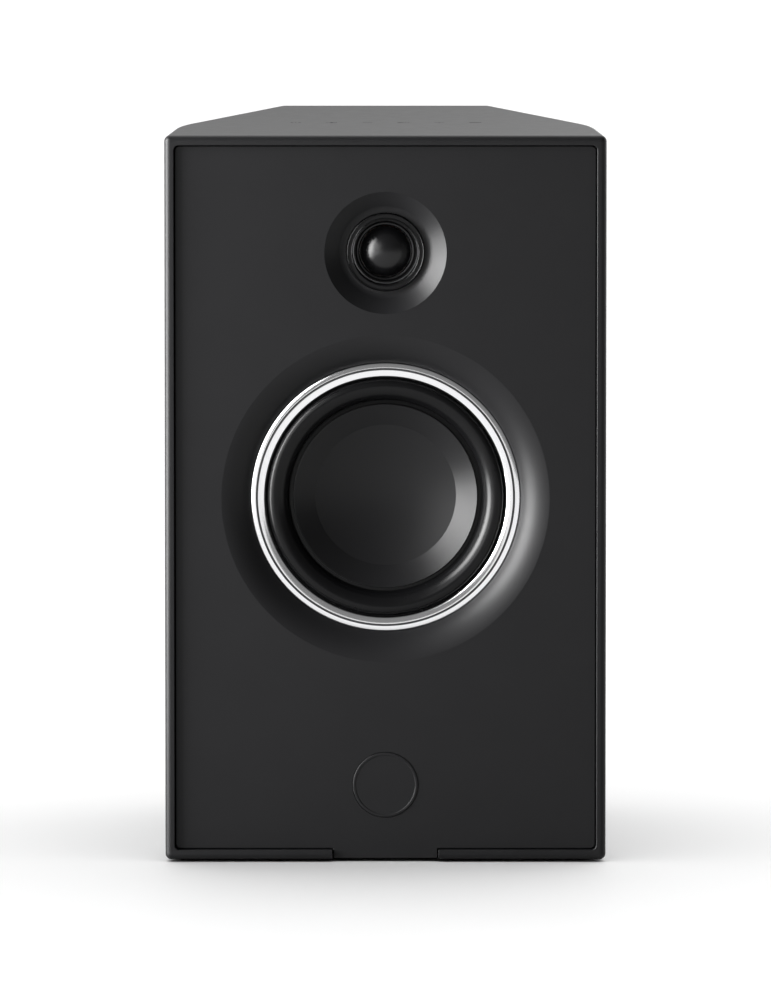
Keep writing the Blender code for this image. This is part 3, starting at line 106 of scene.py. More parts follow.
@dataclass(frozen=True)
class Finish:
    """One surface finish: a shader whose colour, roughness and relief vary over the piece."""

    name: str
    colour: Colour
    roughness: Pair = (0.40, 0.50)
    metallic: float = 0.0
    grain: Grain = Grain.SPECKLE
    grain_size: float = 0.0004
    relief: float = 0.000004
    mottle: float = 0.10
    mottle_size: float = 0.020
    specular: float = 0.5
    coat: float = 0.0
    coat_roughness: float = 0.20
    sheen: float = 0.0
    sheen_roughness: float = 0.4
    axis_height: float = 0.0

    def material(self) -> bpy.types.Material:
        """The finish as a material, made once.

        Returns:
            The material, with its shader and the nodes that vary it.
        """
        found = bpy.data.materials.get(self.name)
        if found:
            return found
        made = bpy.data.materials.new(self.name)
        made.use_nodes = True
        tree = made.node_tree
        shader = tree.nodes["Principled BSDF"]
        settings = {
            "Metallic": self.metallic,
            "Specular IOR Level": self.specular,
            "Coat Weight": self.coat,
            "Coat Roughness": self.coat_roughness,
            "Sheen Weight": self.sheen,
            "Sheen Roughness": self.sheen_roughness,
        }
        for socket, value in settings.items():
            shader.inputs[socket].default_value = value
        place = tree.nodes.new("ShaderNodeTexCoord").outputs["Object"]
        self._tint(tree, shader, place)
        self._gloss(tree, shader, place)
        self._relief(tree, shader, place)
        return made

    def _tint(self, tree: bpy.types.NodeTree, shader: bpy.types.Node, place: bpy.types.NodeSocket) -> None:
        """Varies the colour in soft patches.

        Args:
            tree: The material's nodes.
            shader: Its Principled shader.
            place: The socket that gives a point's place.
        """
        patches = self._noise(tree, place, self.mottle_size, 3.0)
        mix = tree.nodes.new("ShaderNodeMix")
        mix.data_type = "RGBA"
        dark = tuple(c * (1.0 - self.mottle) for c in self.colour)
        light = tuple(min(1.0, c * (1.0 + self.mottle)) for c in self.colour)
        mix.inputs["A"].default_value = (*dark, 1.0)
        mix.inputs["B"].default_value = (*light, 1.0)
        tree.links.new(patches, mix.inputs["Factor"])
        tree.links.new(mix.outputs["Result"], shader.inputs["Base Color"])

    def _gloss(self, tree: bpy.types.NodeTree, shader: bpy.types.Node, place: bpy.types.NodeSocket) -> None:
        """Varies the roughness between its two limits.

        Args:
            tree: The material's nodes.
            shader: Its Principled shader.
            place: The socket that gives a point's place.
        """
        patches = self._noise(tree, place, self.mottle_size / 4, 4.0)
        spread = tree.nodes.new("ShaderNodeMapRange")
        spread.inputs["To Min"].default_value = self.roughness[0]
        spread.inputs["To Max"].default_value = self.roughness[1]
        tree.links.new(patches, spread.inputs["Value"])
        tree.links.new(spread.outputs["Result"], shader.inputs["Roughness"])

    def _relief(self, tree: bpy.types.NodeTree, shader: bpy.types.Node, place: bpy.types.NodeSocket) -> None:
        """Adds the grain as a bump.

        Args:
            tree: The material's nodes.
            shader: Its Principled shader.
            place: The socket that gives a point's place.
        """
        makers = {
            Grain.SPECKLE: self._speckle,
            Grain.TURNED: self._rings,
            Grain.BRUSHED: self._lines,
            Grain.WEAVE: self._threads,
            Grain.CELLS: self._cells,
        }
        bump = tree.nodes.new("ShaderNodeBump")
        bump.inputs["Distance"].default_value = self.relief
        tree.links.new(makers[self.grain](tree, place), bump.inputs["Height"])
        tree.links.new(bump.outputs["Normal"], shader.inputs["Normal"])

    @staticmethod
    def _noise(
        tree: bpy.types.NodeTree, place: bpy.types.NodeSocket, size: float, detail: float
    ) -> bpy.types.NodeSocket:
        """Soft noise.

        Args:
            tree: The material's nodes.
            place: The socket that gives a point's place.
            size: Size of the noise's features, in metres.
            detail: How many finer layers it has.

        Returns:
            The socket with the noise, from 0 to 1.
        """
        noise = tree.nodes.new("ShaderNodeTexNoise")
        noise.inputs["Scale"].default_value = 1.0 / size
        noise.inputs["Detail"].default_value = detail
        tree.links.new(place, noise.inputs["Vector"])
        return noise.outputs["Fac"]

    def _speckle(self, tree: bpy.types.NodeTree, place: bpy.types.NodeSocket) -> bpy.types.NodeSocket:
        """The height of a sprayed or moulded texture."""
        return self._noise(tree, place, self.grain_size, 2.0)

    def _rings(self, tree: bpy.types.NodeTree, place: bpy.types.NodeSocket) -> bpy.types.NodeSocket:
        """The height of fine rings about the axis at the finish's height.

        Args:
            tree: The material's nodes.
            place: The socket that gives a point's place.

        Returns:
            The socket with the height.
        """
        flat = tree.nodes.new("ShaderNodeVectorMath")
        flat.operation = "MULTIPLY_ADD"
        flat.inputs[1].default_value = (1.0, 0.0, 1.0)
        flat.inputs[2].default_value = (0.0, 0.0, -self.axis_height)
        tree.links.new(place, flat.inputs[0])
        radius = tree.nodes.new("ShaderNodeVectorMath")
        radius.operation = "LENGTH"
        tree.links.new(flat.outputs["Vector"], radius.inputs[0])
        noise = tree.nodes.new("ShaderNodeTexNoise")
        noise.noise_dimensions = "1D"
        noise.inputs["Scale"].default_value = 1.0 / self.grain_size
        tree.links.new(radius.outputs["Value"], noise.inputs["W"])
        return noise.outputs["Fac"]

    def _lines(self, tree: bpy.types.NodeTree, place: bpy.types.NodeSocket) -> bpy.types.NodeSocket:
        """The height of a brushed grain that runs along X.

        Args:
            tree: The material's nodes.
            place: The socket that gives a point's place.

        Returns:
            The socket with the height.
        """
        stretch = tree.nodes.new("ShaderNodeVectorMath")
        stretch.operation = "MULTIPLY"
        stretch.inputs[1].default_value = (0.02, 1.0, 1.0)
        tree.links.new(place, stretch.inputs[0])
        return self._noise(tree, stretch.outputs["Vector"], self.grain_size, 2.0)

    def _threads(self, tree: bpy.types.NodeTree, place: bpy.types.NodeSocket) -> bpy.types.NodeSocket:
        """The height of a plain weave: two sets of round threads, the higher one on top.

        Args:
            tree: The material's nodes.
            place: The socket that gives a point's place.

        Returns:
            The socket with the height.
        """
        waves = []
        for direction in ("X", "Z"):
            wave = tree.nodes.new("ShaderNodeTexWave")
            wave.bands_direction = direction
            wave.inputs["Scale"].default_value = 0.5 / self.grain_size
            tree.links.new(place, wave.inputs["Vector"])
            waves.append(wave.outputs["Fac"])
        top = tree.nodes.new("ShaderNodeMath")
        top.operation = "MAXIMUM"
        tree.links.new(waves[0], top.inputs[0])
        tree.links.new(waves[1], top.inputs[1])
        return top.outputs["Value"]

    def _cells(self, tree: bpy.types.NodeTree, place: bpy.types.NodeSocket) -> bpy.types.NodeSocket:
        """The height of open cells.

        Args:
            tree: The material's nodes.
            place: The socket that gives a point's place.

        Returns:
            The socket with the height.
        """
        cells = tree.nodes.new("ShaderNodeTexVoronoi")
        cells.inputs["Scale"].default_value = 1.0 / self.grain_size
        tree.links.new(place, cells.inputs["Vector"])
        return cells.outputs["Distance"]


LACQUER = Finish(
    "matte_lacquer", (0.005, 0.005, 0.0054), (0.38, 0.44),
    grain_size=0.00035, relief=0.000006, specular=0.17,
)
PANEL_LACQUER = replace(LACQUER, name="baffle_lacquer", roughness=(0.37, 0.42))
POLISHED = Finish(
    "polished_aluminium", (0.82, 0.82, 0.83), (0.12, 0.17), 1.0, Grain.TURNED, 0.00012, 0.0000012, 0.03
)
# Painted shade: a dark colour for the floor of the trim ring's groove, standing in for the dark reflection
# that the polished groove shows.
PAINTED_GROOVE_SHADE = Finish("painted_groove_shade", (0.045, 0.045, 0.047), (0.34, 0.42), 0.4, relief=0.000002)
CONE_FINISH = Finish(
    "satin_cone", (0.004, 0.004, 0.0043), (0.32, 0.37),
    grain_size=0.00060, relief=0.000008, specular=0.18,
)
ROLL_RUBBER = Finish(
    "roll_rubber", (0.002, 0.002, 0.0022), (0.24, 0.29), relief=0.000003, mottle=0.15, specular=0.17
)
FOOT_RUBBER = Finish("foot_rubber", (0.016, 0.016, 0.017), (0.60, 0.75), relief=0.000015, mottle=0.20)
SILK = Finish(
    "coated_silk", (0.003, 0.003, 0.0033), (0.22, 0.27), grain=Grain.WEAVE, grain_size=0.00016,
    relief=0.000004, specular=0.30,
)
BEZEL_PLASTIC = Finish("bezel_plastic", (0.002, 0.002, 0.0022), (0.24, 0.30), relief=0.000002, specular=0.20)
BLACK_PLASTIC = Finish("black_plastic_finish", (0.018, 0.018, 0.019), (0.38, 0.50), relief=0.000008)
GREY_PLASTIC = Finish("grey_plastic_finish", (0.085, 0.085, 0.090), (0.40, 0.50), relief=0.000006)
WHITE_PLASTIC = Finish("white_plastic_finish", (0.74, 0.74, 0.71), (0.30, 0.40), mottle=0.04)
RED_PLASTIC = Finish("red_plastic_finish", (0.46, 0.016, 0.014), (0.25, 0.36), coat=0.3, mottle=0.08)
ANODISED = Finish(
    "black_anodised_plate", (0.030, 0.030, 0.032), (0.34, 0.44), 0.65, Grain.BRUSHED, 0.00022, 0.000005
)
NICKEL = Finish("nickel_plating", (0.62, 0.60, 0.56), (0.20, 0.30), 1.0, relief=0.000002, mottle=0.06)
GOLD = Finish("gold_flash", (0.83, 0.62, 0.28), (0.20, 0.30), 1.0, relief=0.000002, mottle=0.06)
STEEL = Finish("plated_steel", (0.42, 0.42, 0.43), (0.28, 0.42), 1.0, relief=0.000004, mottle=0.12)
FERRITE = Finish("ferrite_block", (0.050, 0.050, 0.054), (0.55, 0.70), relief=0.000030, mottle=0.25)
COPPER = Finish("copper_winding", (0.70, 0.32, 0.17), (0.28, 0.40), 1.0, Grain.BRUSHED, 0.00030, 0.00003)
CLOTH = Finish(
    "resin_cloth", (0.58, 0.42, 0.19), (0.75, 0.90), grain=Grain.WEAVE, grain_size=0.00030,
    relief=0.000060, sheen=0.2,
)
SOLDER_MASK = Finish(
    "green_board", (0.016, 0.085, 0.042), (0.32, 0.44), relief=0.000010, mottle=0.30, mottle_size=0.004
)
ALUMINIUM = Finish("plain_aluminium", (0.60, 0.60, 0.62), (0.30, 0.44), 1.0, Grain.BRUSHED, 0.00030, 0.000006)
FOAM = Finish(
    "open_foam", (0.050, 0.050, 0.053), (0.90, 1.00), grain=Grain.CELLS, grain_size=0.0009, relief=0.0004
)
PALE_FLOOR = Finish(
    "pale_floor", (0.92, 0.92, 0.92), (0.60, 0.70), relief=0.00001, mottle=0.01, mottle_size=0.3
)
LEAD_RUBBER = Finish("lead_sheath", (0.020, 0.020, 0.021), (0.50, 0.62), relief=0.000008)
PRINT = Finish("pale_print", (0.16, 0.16, 0.165), (0.45, 0.55), relief=0.000002)
FAINT_PRINT = Finish("faint_print", (0.030, 0.030, 0.032), (0.75, 0.85), relief=0.000002, specular=0.2)


# ---------------------------------------------------------------- places
@dataclass(frozen=True)
class Extent:
    """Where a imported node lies."""

    low: Vector
    high: Vector

    @classmethod
    def of(cls, node: str) -> Extent:
        """The extent of the named node."""
        return cls(*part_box(node))

    @property
    def x(self) -> float:
        """The middle, across."""
        return (self.low.x + self.high.x) / 2

    @property
    def z(self) -> float:
        """The middle, in height."""
        return (self.low.z + self.high.z) / 2

    @property
    def width(self) -> float:
        """The size across."""
        return self.high.x - self.low.x

    @property
    def height(self) -> float:
        """The size in height."""
        return self.high.z - self.low.z

    @property
    def radius(self) -> float:
        """Half the size across."""
        return self.width / 2

    @property
    def front(self) -> float:
        """The foremost Y."""
        return self.low.y

    @property
    def back(self) -> float:
        """The rearmost Y."""
        return self.high.y


# ---------------------------------------------------------------- outlines
def arc(centre: Pair, radius: float, start: float, end: float, steps: int) -> list[Pair]:
    """Points on an arc, both ends included.

    Args:
        centre: The arc's centre.
        radius: Its radius.
        start: Where it starts, in degrees.
        end: Where it ends, in degrees.
        steps: How many parts it has.

    Returns:
        The points.
    """
    turns = [radians(start + (end - start) * k / steps) for k in range(steps + 1)]
    return [(centre[0] + radius * cos(a), centre[1] + radius * sin(a)) for a in turns]


def rounded(
    width: float, low: float, high: float, corner: float, across: float = 0.0, steps: int = 8
) -> list[Pair]:
    """An upright rectangle with round corners.

    Args:
        width: Its width.
        low: Its lower edge.
        high: Its upper edge.
        corner: Its corners' radius.
        across: The middle of its width.
        steps: Parts of each corner.

    Returns:
        Its (x, z) points, counter-clockwise from the lower right corner.
    """
    radius = max(corner, 2 * WELD)
    side, bottom, top = width / 2 - radius, low + radius, high - radius
    corners = ((side, bottom, -90), (side, top, 0), (-side, top, 90), (-side, bottom, 180))
    return [p for x, z, turn in corners for p in arc((across + x, z), radius, turn, turn + 90, steps)]


def fillet(before: Vector, corner: Vector, after: Vector, radius: float, steps: int) -> list[Pair]:
    """The arc that rounds one corner of an outline.

    Args:
        before: The outline's point before the corner.
        corner: The corner.
        after: The point after it.
        radius: The arc's radius.
        steps: How many parts it has.

    Returns:
        The points.
    """
    back, on = (before - corner).normalized(), (after - corner).normalized()
    half = acos(max(-1.0, min(1.0, back.dot(on)))) / 2
    centre = corner + (back + on).normalized() * (radius / sin(half))
    first = (corner + back * (radius / tan(half)) - centre).normalized()
    last = (corner + on * (radius / tan(half)) - centre).normalized()
    return [tuple(centre + first.slerp(last, k / steps) * radius) for k in range(steps + 1)]


def eased(start: float, end: float, first: float = 0.0, last: float = 0.0) -> list[Pair]:
    """The levels of a straight body whose two ends have rounded edges.

    Args:
        start: Where the body starts.
        end: Where it ends.
        first: Radius of its first edge.
        last: Radius of its last edge.

    Returns:
        (position, inset) at each level.
    """
    way = 1.0 if end > start else -1.0
    turns = [pi / 2 * k / EASE_STEPS for k in range(EASE_STEPS + 1)]
    opening, closing = [(start, 0.0)], [(end, 0.0)]
    if first:
        opening = [(start + way * first * (1 - cos(a)), first * (1 - sin(a))) for a in turns]
    if last:
        closing = [(end - way * last * (1 - cos(a)), last * (1 - sin(a))) for a in reversed(turns)]
    return opening + closing


def mouth(surface: float, floor: float, lip: float) -> list[Pair]:
    """The levels of a hole whose mouth has a rounded lip.

    Args:
        surface: Where the mouth is.
        floor: Where the hole ends.
        lip: Radius of the lip.

    Returns:
        (position, inset) at each level, from in front of the mouth to the floor.
    """
    way = 1.0 if floor > surface else -1.0
    turns = [pi / 2 * k / EASE_STEPS for k in range(EASE_STEPS + 1)]
    edge = [(surface + way * lip * (1 - cos(a)), -lip * (1 - sin(a))) for a in turns]
    return [(surface - way * CUT, -lip), *edge, (floor, 0.0)]


# ---------------------------------------------------------------- mesh making
class Maker:
    """Collects closed surfaces and turns them into one piece."""

    def __init__(self) -> None:
        """Starts with nothing in it."""
        self.mesh = bmesh.new()

    def loft(self, rings: list[list[tuple[float, float, float]]], looped: bool = False) -> Maker:
        """Adds a body that runs through rings of points.

        Args:
            rings: The rings, each with as many points as the others.
            looped: Whether the last ring joins the first, so that there are no end faces.

        Returns:
            This maker.
        """
        made = [[self.mesh.verts.new(point) for point in ring] for ring in rings]
        for first, second in zip(made, made[1:] + made[:1] if looped else made[1:]):
            for k in range(len(first)):
                after = (k + 1) % len(first)
                self.mesh.faces.new((first[k], first[after], second[after], second[k]))
        if not looped:
            self.mesh.faces.new(made[0])
            self.mesh.faces.new(made[-1])
        return self

    def revolve(self, profile: list[Pair], x: float = 0.0, z: float = 0.0, sides: int = FINE) -> Maker:
        """Adds a body turned about an axis that runs from front to back.

        Args:
            profile: Its closed (radius, y) outline.
            x: The axis's place, across.
            z: The axis's height.
            sides: How many sides it has.

        Returns:
            This maker.
        """
        turns = [2 * pi * k / sides for k in range(sides)]
        rings = [
            [self.mesh.verts.new((x + r * cos(a), y, z + r * sin(a))) for a in turns] for r, y in profile
        ]
        for k, first in enumerate(rings):
            after = (k + 1) % len(rings)
            if max(profile[k][0], profile[after][0]) < WELD:
                continue
            second = rings[after]
            for j in range(sides):
                on = (j + 1) % sides
                self.mesh.faces.new((first[j], first[on], second[on], second[j]))
        return self

    def bar(
        self, radius: float, levels: list[Pair], x: float = 0.0, z: float = 0.0, sides: int = SMALL
    ) -> Maker:
        """Adds a solid round bar.

        Args:
            radius: Its radius.
            levels: (y, inset) along it.
            x: Its middle, across.
            z: Its height.
            sides: How many sides it has.

        Returns:
            This maker.
        """
        side = [(radius - inset, y) for y, inset in levels]
        return self.revolve([(0.0, levels[0][0]), *side, (0.0, levels[-1][0])], x, z, sides)

    def block(
        self, width: float, height: float, corner: float, levels: list[Pair], x: float, z: float
    ) -> Maker:
        """Adds a block with round corners that runs from front to back.

        Args:
            width: Its width.
            height: Its height.
            corner: Its corners' radius.
            levels: (y, inset) along it.
            x: Its middle, across.
            z: Its middle, in height.

        Returns:
            This maker.
        """
        rings = []
        for y, inset in levels:
            low, high = z - height / 2 + inset, z + height / 2 - inset
            outline = rounded(width - 2 * inset, low, high, corner - inset, x)
            rings.append([(px, y, pz) for px, pz in outline])
        return self.loft(rings)

    def piece(self, name: str, sharp: float = 32.0) -> bpy.types.Object:
        """Turns what was collected into a named object.

        Args:
            name: The piece's name.
            sharp: Edges that turn by more than this many degrees stay sharp.

        Returns:
            The object.
        """
        bmesh.ops.remove_doubles(self.mesh, verts=self.mesh.verts, dist=WELD)
        bmesh.ops.recalc_face_normals(self.mesh, faces=self.mesh.faces)
        data = bpy.data.meshes.new(name)
        self.mesh.to_mesh(data)
        self.mesh.free()
        data.shade_smooth()
        data.set_sharp_from_angle(angle=radians(sharp))
        made = bpy.data.objects.new(name, data)
        bpy.context.scene.collection.objects.link(made)
        return made


def combine(
    piece: bpy.types.Object, operation: str, others: list[bpy.types.Object], sharp: float = 32.0
) -> None:
    """Cuts others from a piece, or joins them to it, and removes them.

    Args:
        piece: The piece that changes.
        operation: DIFFERENCE or UNION.
        others: The objects to cut away or join.
        sharp: Edges that turn by more than this many degrees stay sharp.
    """
    for other in others:
        modifier = piece.modifiers.new(other.name, "BOOLEAN")
        modifier.operation = operation
        modifier.solver = "EXACT"
        modifier.object = other
    graph = bpy.context.evaluated_depsgraph_get()
    made = bpy.data.meshes.new_from_object(piece.evaluated_get(graph))
    piece.modifiers.clear()
    piece.data = made
    made.shade_smooth()
    made.set_sharp_from_angle(angle=radians(sharp))
    for other in others:
        bpy.data.objects.remove(other, do_unlink=True)


def even_out(piece: bpy.types.Object) -> None:
    """Shades large flat faces flat next to their rounded edges.

    Args:
        piece: The piece.
    """
    modifier = piece.modifiers.new("even_shading", "WEIGHTED_NORMAL")
    modifier.keep_sharp = True
    modifier.weight = 100


def ribbon(points: list[Pair], width: float) -> list[Pair]:
    """The outline of a stroke of even width.

    Args:
        points: The stroke's points.
        width: Its width.

    Returns:
        The outline, down one side and back up the other.
    """
    sides: tuple[list[Pair], list[Pair]] = ([], [])
    for k, (u, v) in enumerate(points):
        before, after = points[max(k - 1, 0)], points[min(k + 1, len(points) - 1)]
        way = Vector((after[0] - before[0], after[1] - before[1])).normalized() * (width / 2)
        sides[0].append((u - way.y, v + way.x))
        sides[1].append((u + way.y, v - way.x))
    return sides[0] + sides[1][::-1]


class Mark(Enum):
    """A plain symbol, drawn as strokes in a square that runs from -1 to 1."""

    POWER = "power"
    SOURCE = "source"
    MINUS = "minus"
    PLAY = "play"
    PLUS = "plus"
    PAIR = "pair"
    ON = "on"
    OFF = "off"

    def strokes(self) -> list[list[Pair]]:
        """The symbol's strokes.

        Returns:
            A list of points for each stroke.
        """
        across, upright = [(-0.8, 0.0), (0.8, 0.0)], [(0.0, -0.8), (0.0, 0.8)]
        return {
            Mark.POWER: [arc((0, 0), 0.8, 125, 415, 40), [(0.0, 0.2), (0.0, 1.0)]],
            Mark.SOURCE: [
                [(-1.0, 0.0), (0.2, 0.0)],
                [(-0.2, 0.4), (0.2, 0.0), (-0.2, -0.4)],
                [(-0.2, 0.8), (0.85, 0.8), (0.85, -0.8), (-0.2, -0.8)],
            ],
            Mark.MINUS: [across],
            Mark.PLAY: [
                [(-0.9, 0.65), (-0.9, -0.65), (0.0, 0.0), (-0.9, 0.65), (-0.9, 0.5)],
                [(0.35, 0.65), (0.35, -0.65)],
                [(0.8, 0.65), (0.8, -0.65)],
            ],
            Mark.PLUS: [across, upright],
            Mark.PAIR: [arc((-0.4, 0), 0.55, 30, 330, 32), arc((0.4, 0), 0.55, -150, 150, 32)],
            Mark.ON: [upright],
            Mark.OFF: [arc((0, 0), 0.7, 0, 359, 40)],
        }[self]


# ---------------------------------------------------------------- sub-assemblies
@dataclass
class SubAssembly:
    """Part of the loudspeaker. It builds its pieces, dresses them and hands them to the frame."""

    def hand_over(
        self, piece: bpy.types.Object, finish: Finish, slot: str, nodes: list[str], body: str = "cabinet"
    ) -> bpy.types.Object:
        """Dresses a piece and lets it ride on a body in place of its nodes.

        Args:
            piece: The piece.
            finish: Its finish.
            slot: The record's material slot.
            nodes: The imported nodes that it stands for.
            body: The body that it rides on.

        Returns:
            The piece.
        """
        self.dress(piece, finish, slot, nodes)
        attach(piece, body)
        return piece

    def dress(self, piece: bpy.types.Object, finish: Finish, slot: str, nodes: list[str]) -> None:
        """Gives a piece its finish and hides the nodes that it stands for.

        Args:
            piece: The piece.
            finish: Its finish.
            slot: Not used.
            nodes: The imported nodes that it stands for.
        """
        piece.data.materials.clear()
        piece.data.materials.append(finish.material())
        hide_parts(*nodes)
        log.info("%s: %d faces, %s", piece.name, len(piece.data.polygons), finish.name)


@dataclass
class CabinetBody(SubAssembly):
    """The tapered shell, its feet and the touch marks on its top."""

    width: float = 0.160
    back_width: float = 0.0796
    fold_depth: float = 0.0597
    fold_inset: float = 0.0038
    fold_radius: float = 0.130
    edge: float = 0.0022
    wall: float = 0.008
    back_wall: float = 0.010
    rim: float = 0.0036
    rim_lip: float = 0.00035
    notch_width: float = 0.0385
    baffle_corner: float = 0.0018
    plate_ledge: float = 0.0055
    plate_corner: float = 0.0040
    foot_pocket: float = 0.0020
    foot_edge: float = 0.0005
    foot_top_edge: float = 0.0002
    foot_dish: float = 0.0002
    port_step: float = 0.0033
    port_seat: float = 0.0023
    mark_height: float = 0.00005
    mark_size: float = 0.0022
    mark_pitch: float = 0.0132
    mark_stroke: float = 0.00032
    fold_steps: int = 20
    corner_steps: int = 8

    def build(self) -> None:
        """Builds the shell, the marks and the feet."""
        self.place = Extent.of("cabinet_shell")
        self.top = self.place.high.z - self.mark_height
        self._shell()
        self._marks()
        for number in range(1, 5):
            self._foot(number)

    def plan(self, side: float, front: float, back: float, corner: float) -> list[Pair]:
        """The cabinet's plan, with each wall moved inwards.

        Args:
            side: How far the sides move in.
            front: How far the front moves in.
            back: How far the back moves in.
            corner: Radius of the four upright corners.

        Returns:
            Its (x, y) points, counter-clockwise from the front left.
        """
        half, fold, rear = self.width / 2, self.width / 2 - self.fold_inset, self.back_width / 2
        y = self.place.front
        corners = [
            Vector((-half, y)),
            Vector((half, y)),
            Vector((fold, y + self.fold_depth)),
            Vector((rear, self.place.back)),
            Vector((-rear, self.place.back)),
            Vector((-fold, y + self.fold_depth)),
        ]
        lines = []
        for k, inset in enumerate((front, side, side, back, side, side)):
            way = (corners[(k + 1) % 6] - corners[k]).normalized()
            lines.append((corners[k] + Vector((-way.y, way.x)) * inset, way))
        moved = []
        for k, (point, way) in enumerate(lines):
            last_point, last_way = lines[k - 1]
            gap = point - last_point
            share = (gap.x * way.y - gap.y * way.x) / (last_way.x * way.y - last_way.y * way.x)
            moved.append(last_point + last_way * share)
        outline = []
        for k, point in enumerate(moved):
            folded = k in (2, 5)
            radius = self.fold_radius - side if folded else max(corner, 2 * WELD)
            steps = self.fold_steps if folded else self.corner_steps
            outline += fillet(moved[k - 1], point, moved[(k + 1) % 6], radius, steps)
        return outline

    def _shell(self) -> None:
        """Builds the shell: a rounded body less its cavity, front opening, recesses and holes."""
        low, high = self.place.low.z, self.top
        rings = []
        for z, inset in eased(low, high, self.edge, self.edge):
            outline = self.plan(inset, inset, inset, self.edge - inset)
            rings.append([(x, y, z) for x, y in outline])
        shell = Maker().loft(rings).piece("tapered_cabinet")
        cavity = self.plan(self.wall, -CUT, self.back_wall, 0.0)
        levels = (low + self.wall, self.place.high.z - self.wall)
        hollow = Maker().loft([[(x, y, z) for x, y in cavity] for z in levels]).piece("cut_hollow")
        cutters = [hollow, *self._front_cutters(), *self._rear_cutters(), *self._foot_cutters()]
        combine(shell, "DIFFERENCE", cutters)
        even_out(shell)
        self.hand_over(shell, LACQUER, "cabinet", ["cabinet_shell"])

    def _front_cutters(self) -> list[bpy.types.Object]:
        """The opening for the baffle and the gap in the rim for its tongue.

        Returns:
            The two cutters.
        """
        front, baffle, seal = self.place.front, Extent.of("front_baffle"), Extent.of("baffle_seal")
        low, high = self.place.low.z + self.rim, self.place.high.z - self.rim
        levels = mouth(front, seal.back + GAP, self.rim_lip)
        opening = Maker().block(
            self.width - 2 * self.rim, high - low, self.baffle_corner, levels, 0.0, (low + high) / 2
        )
        tall = 2 * CUT
        levels = mouth(front, baffle.back + GAP, self.rim_lip)
        middle = low + self.baffle_corner - tall / 2
        notch = Maker().block(self.notch_width, tall, self.rim_lip, levels, 0.0, middle)
        return [opening.piece("cut_opening"), notch.piece("cut_notch")]

    def _rear_cutters(self) -> list[bpy.types.Object]:
        """The plate's recess and opening, and the port's hole with a step for its collar.

        Returns:
            The three cutters.
        """
        plate, port, back = Extent.of("rear_plate"), Extent.of("port_tube"), self.place.back
        recess = Maker().block(
            plate.width + 2 * GAP, plate.height + 2 * GAP, self.plate_corner + GAP,
            mouth(back, plate.front - GAP, GAP), plate.x, plate.z,
        )
        inner = 2 * self.plate_ledge
        levels = [(back - self.back_wall - CUT / 2, 0.0), (back + CUT, 0.0)]
        opening = Maker().block(
            plate.width - inner, plate.height - inner, self.plate_corner, levels, plate.x, plate.z
        )
        collar = port.radius + GAP
        bore, seat, inside = collar - self.port_step, back - self.port_seat, levels[0][0]
        hole = [
            (0.0, inside),
            (bore, inside),
            (bore, seat),
            (collar, seat),
            (collar, back + CUT),
            (0.0, back + CUT),
        ]
        port_hole = Maker().revolve(hole, port.x, port.z, MEDIUM)
        return [recess.piece("cut_recess"), opening.piece("cut_plate"), port_hole.piece("cut_port")]

    def _foot_cutters(self) -> list[bpy.types.Object]:
        """The four round pockets that the feet sit in.

        Returns:
            The cutters.
        """
        cutters = []
        for number in range(1, 5):
            foot = Extent.of(f"foot_{number}")
            y = (foot.front + foot.back) / 2
            outline = arc((foot.x, y), foot.radius + GAP, 0, 360 - 360 / SMALL, SMALL - 1)
            levels = (self.place.low.z - CUT, self.place.low.z + self.foot_pocket)
            rings = [[(px, py, z) for px, py in outline] for z in levels]
            cutters.append(Maker().loft(rings).piece(f"cut_foot_{number}"))
        return cutters

    def _foot(self, number: int) -> None:
        """Builds one rubber foot: a low disc with a rounded rim and a shallow dish underneath.

        Args:
            number: Which foot.
        """
        place = Extent.of(f"foot_{number}")
        y, radius, low = (place.front + place.back) / 2, place.radius, place.low.z
        levels = [(low + self.foot_dish, radius * 0.45), (low, radius * 0.35)]
        levels += eased(low, place.high.z, self.foot_edge, self.foot_top_edge)
        turns = [2 * pi * k / SMALL for k in range(SMALL)]
        rings = [
            [(place.x + (radius - inset) * cos(a), y + (radius - inset) * sin(a), z) for a in turns]
            for z, inset in levels
        ]
        foot = Maker().loft(rings).piece(f"rubber_foot_{number}")
        self.hand_over(foot, FOOT_RUBBER, "rubber", [f"foot_{number}"])

    def _marks(self) -> None:
        """Builds the row of touch marks on the top."""
        board = Extent.of("touch_board")
        y, maker = (board.front + board.back) / 2, Maker()
        row = (Mark.POWER, Mark.SOURCE, Mark.MINUS, Mark.PLAY, Mark.PLUS, Mark.PAIR)
        for k, mark in enumerate(row):
            x = (k - (len(row) - 1) / 2) * self.mark_pitch
            for stroke in mark.strokes():
                points = [(x + u * self.mark_size, y + v * self.mark_size) for u, v in stroke]
                outline = ribbon(points, self.mark_stroke)
                heights = (self.top - GAP, self.top + self.mark_height)
                maker.loft([[(u, v, z) for u, v in outline] for z in heights])
        marks = maker.piece("touch_marks")
        self.hand_over(marks, FAINT_PRINT, "cabinet", [])


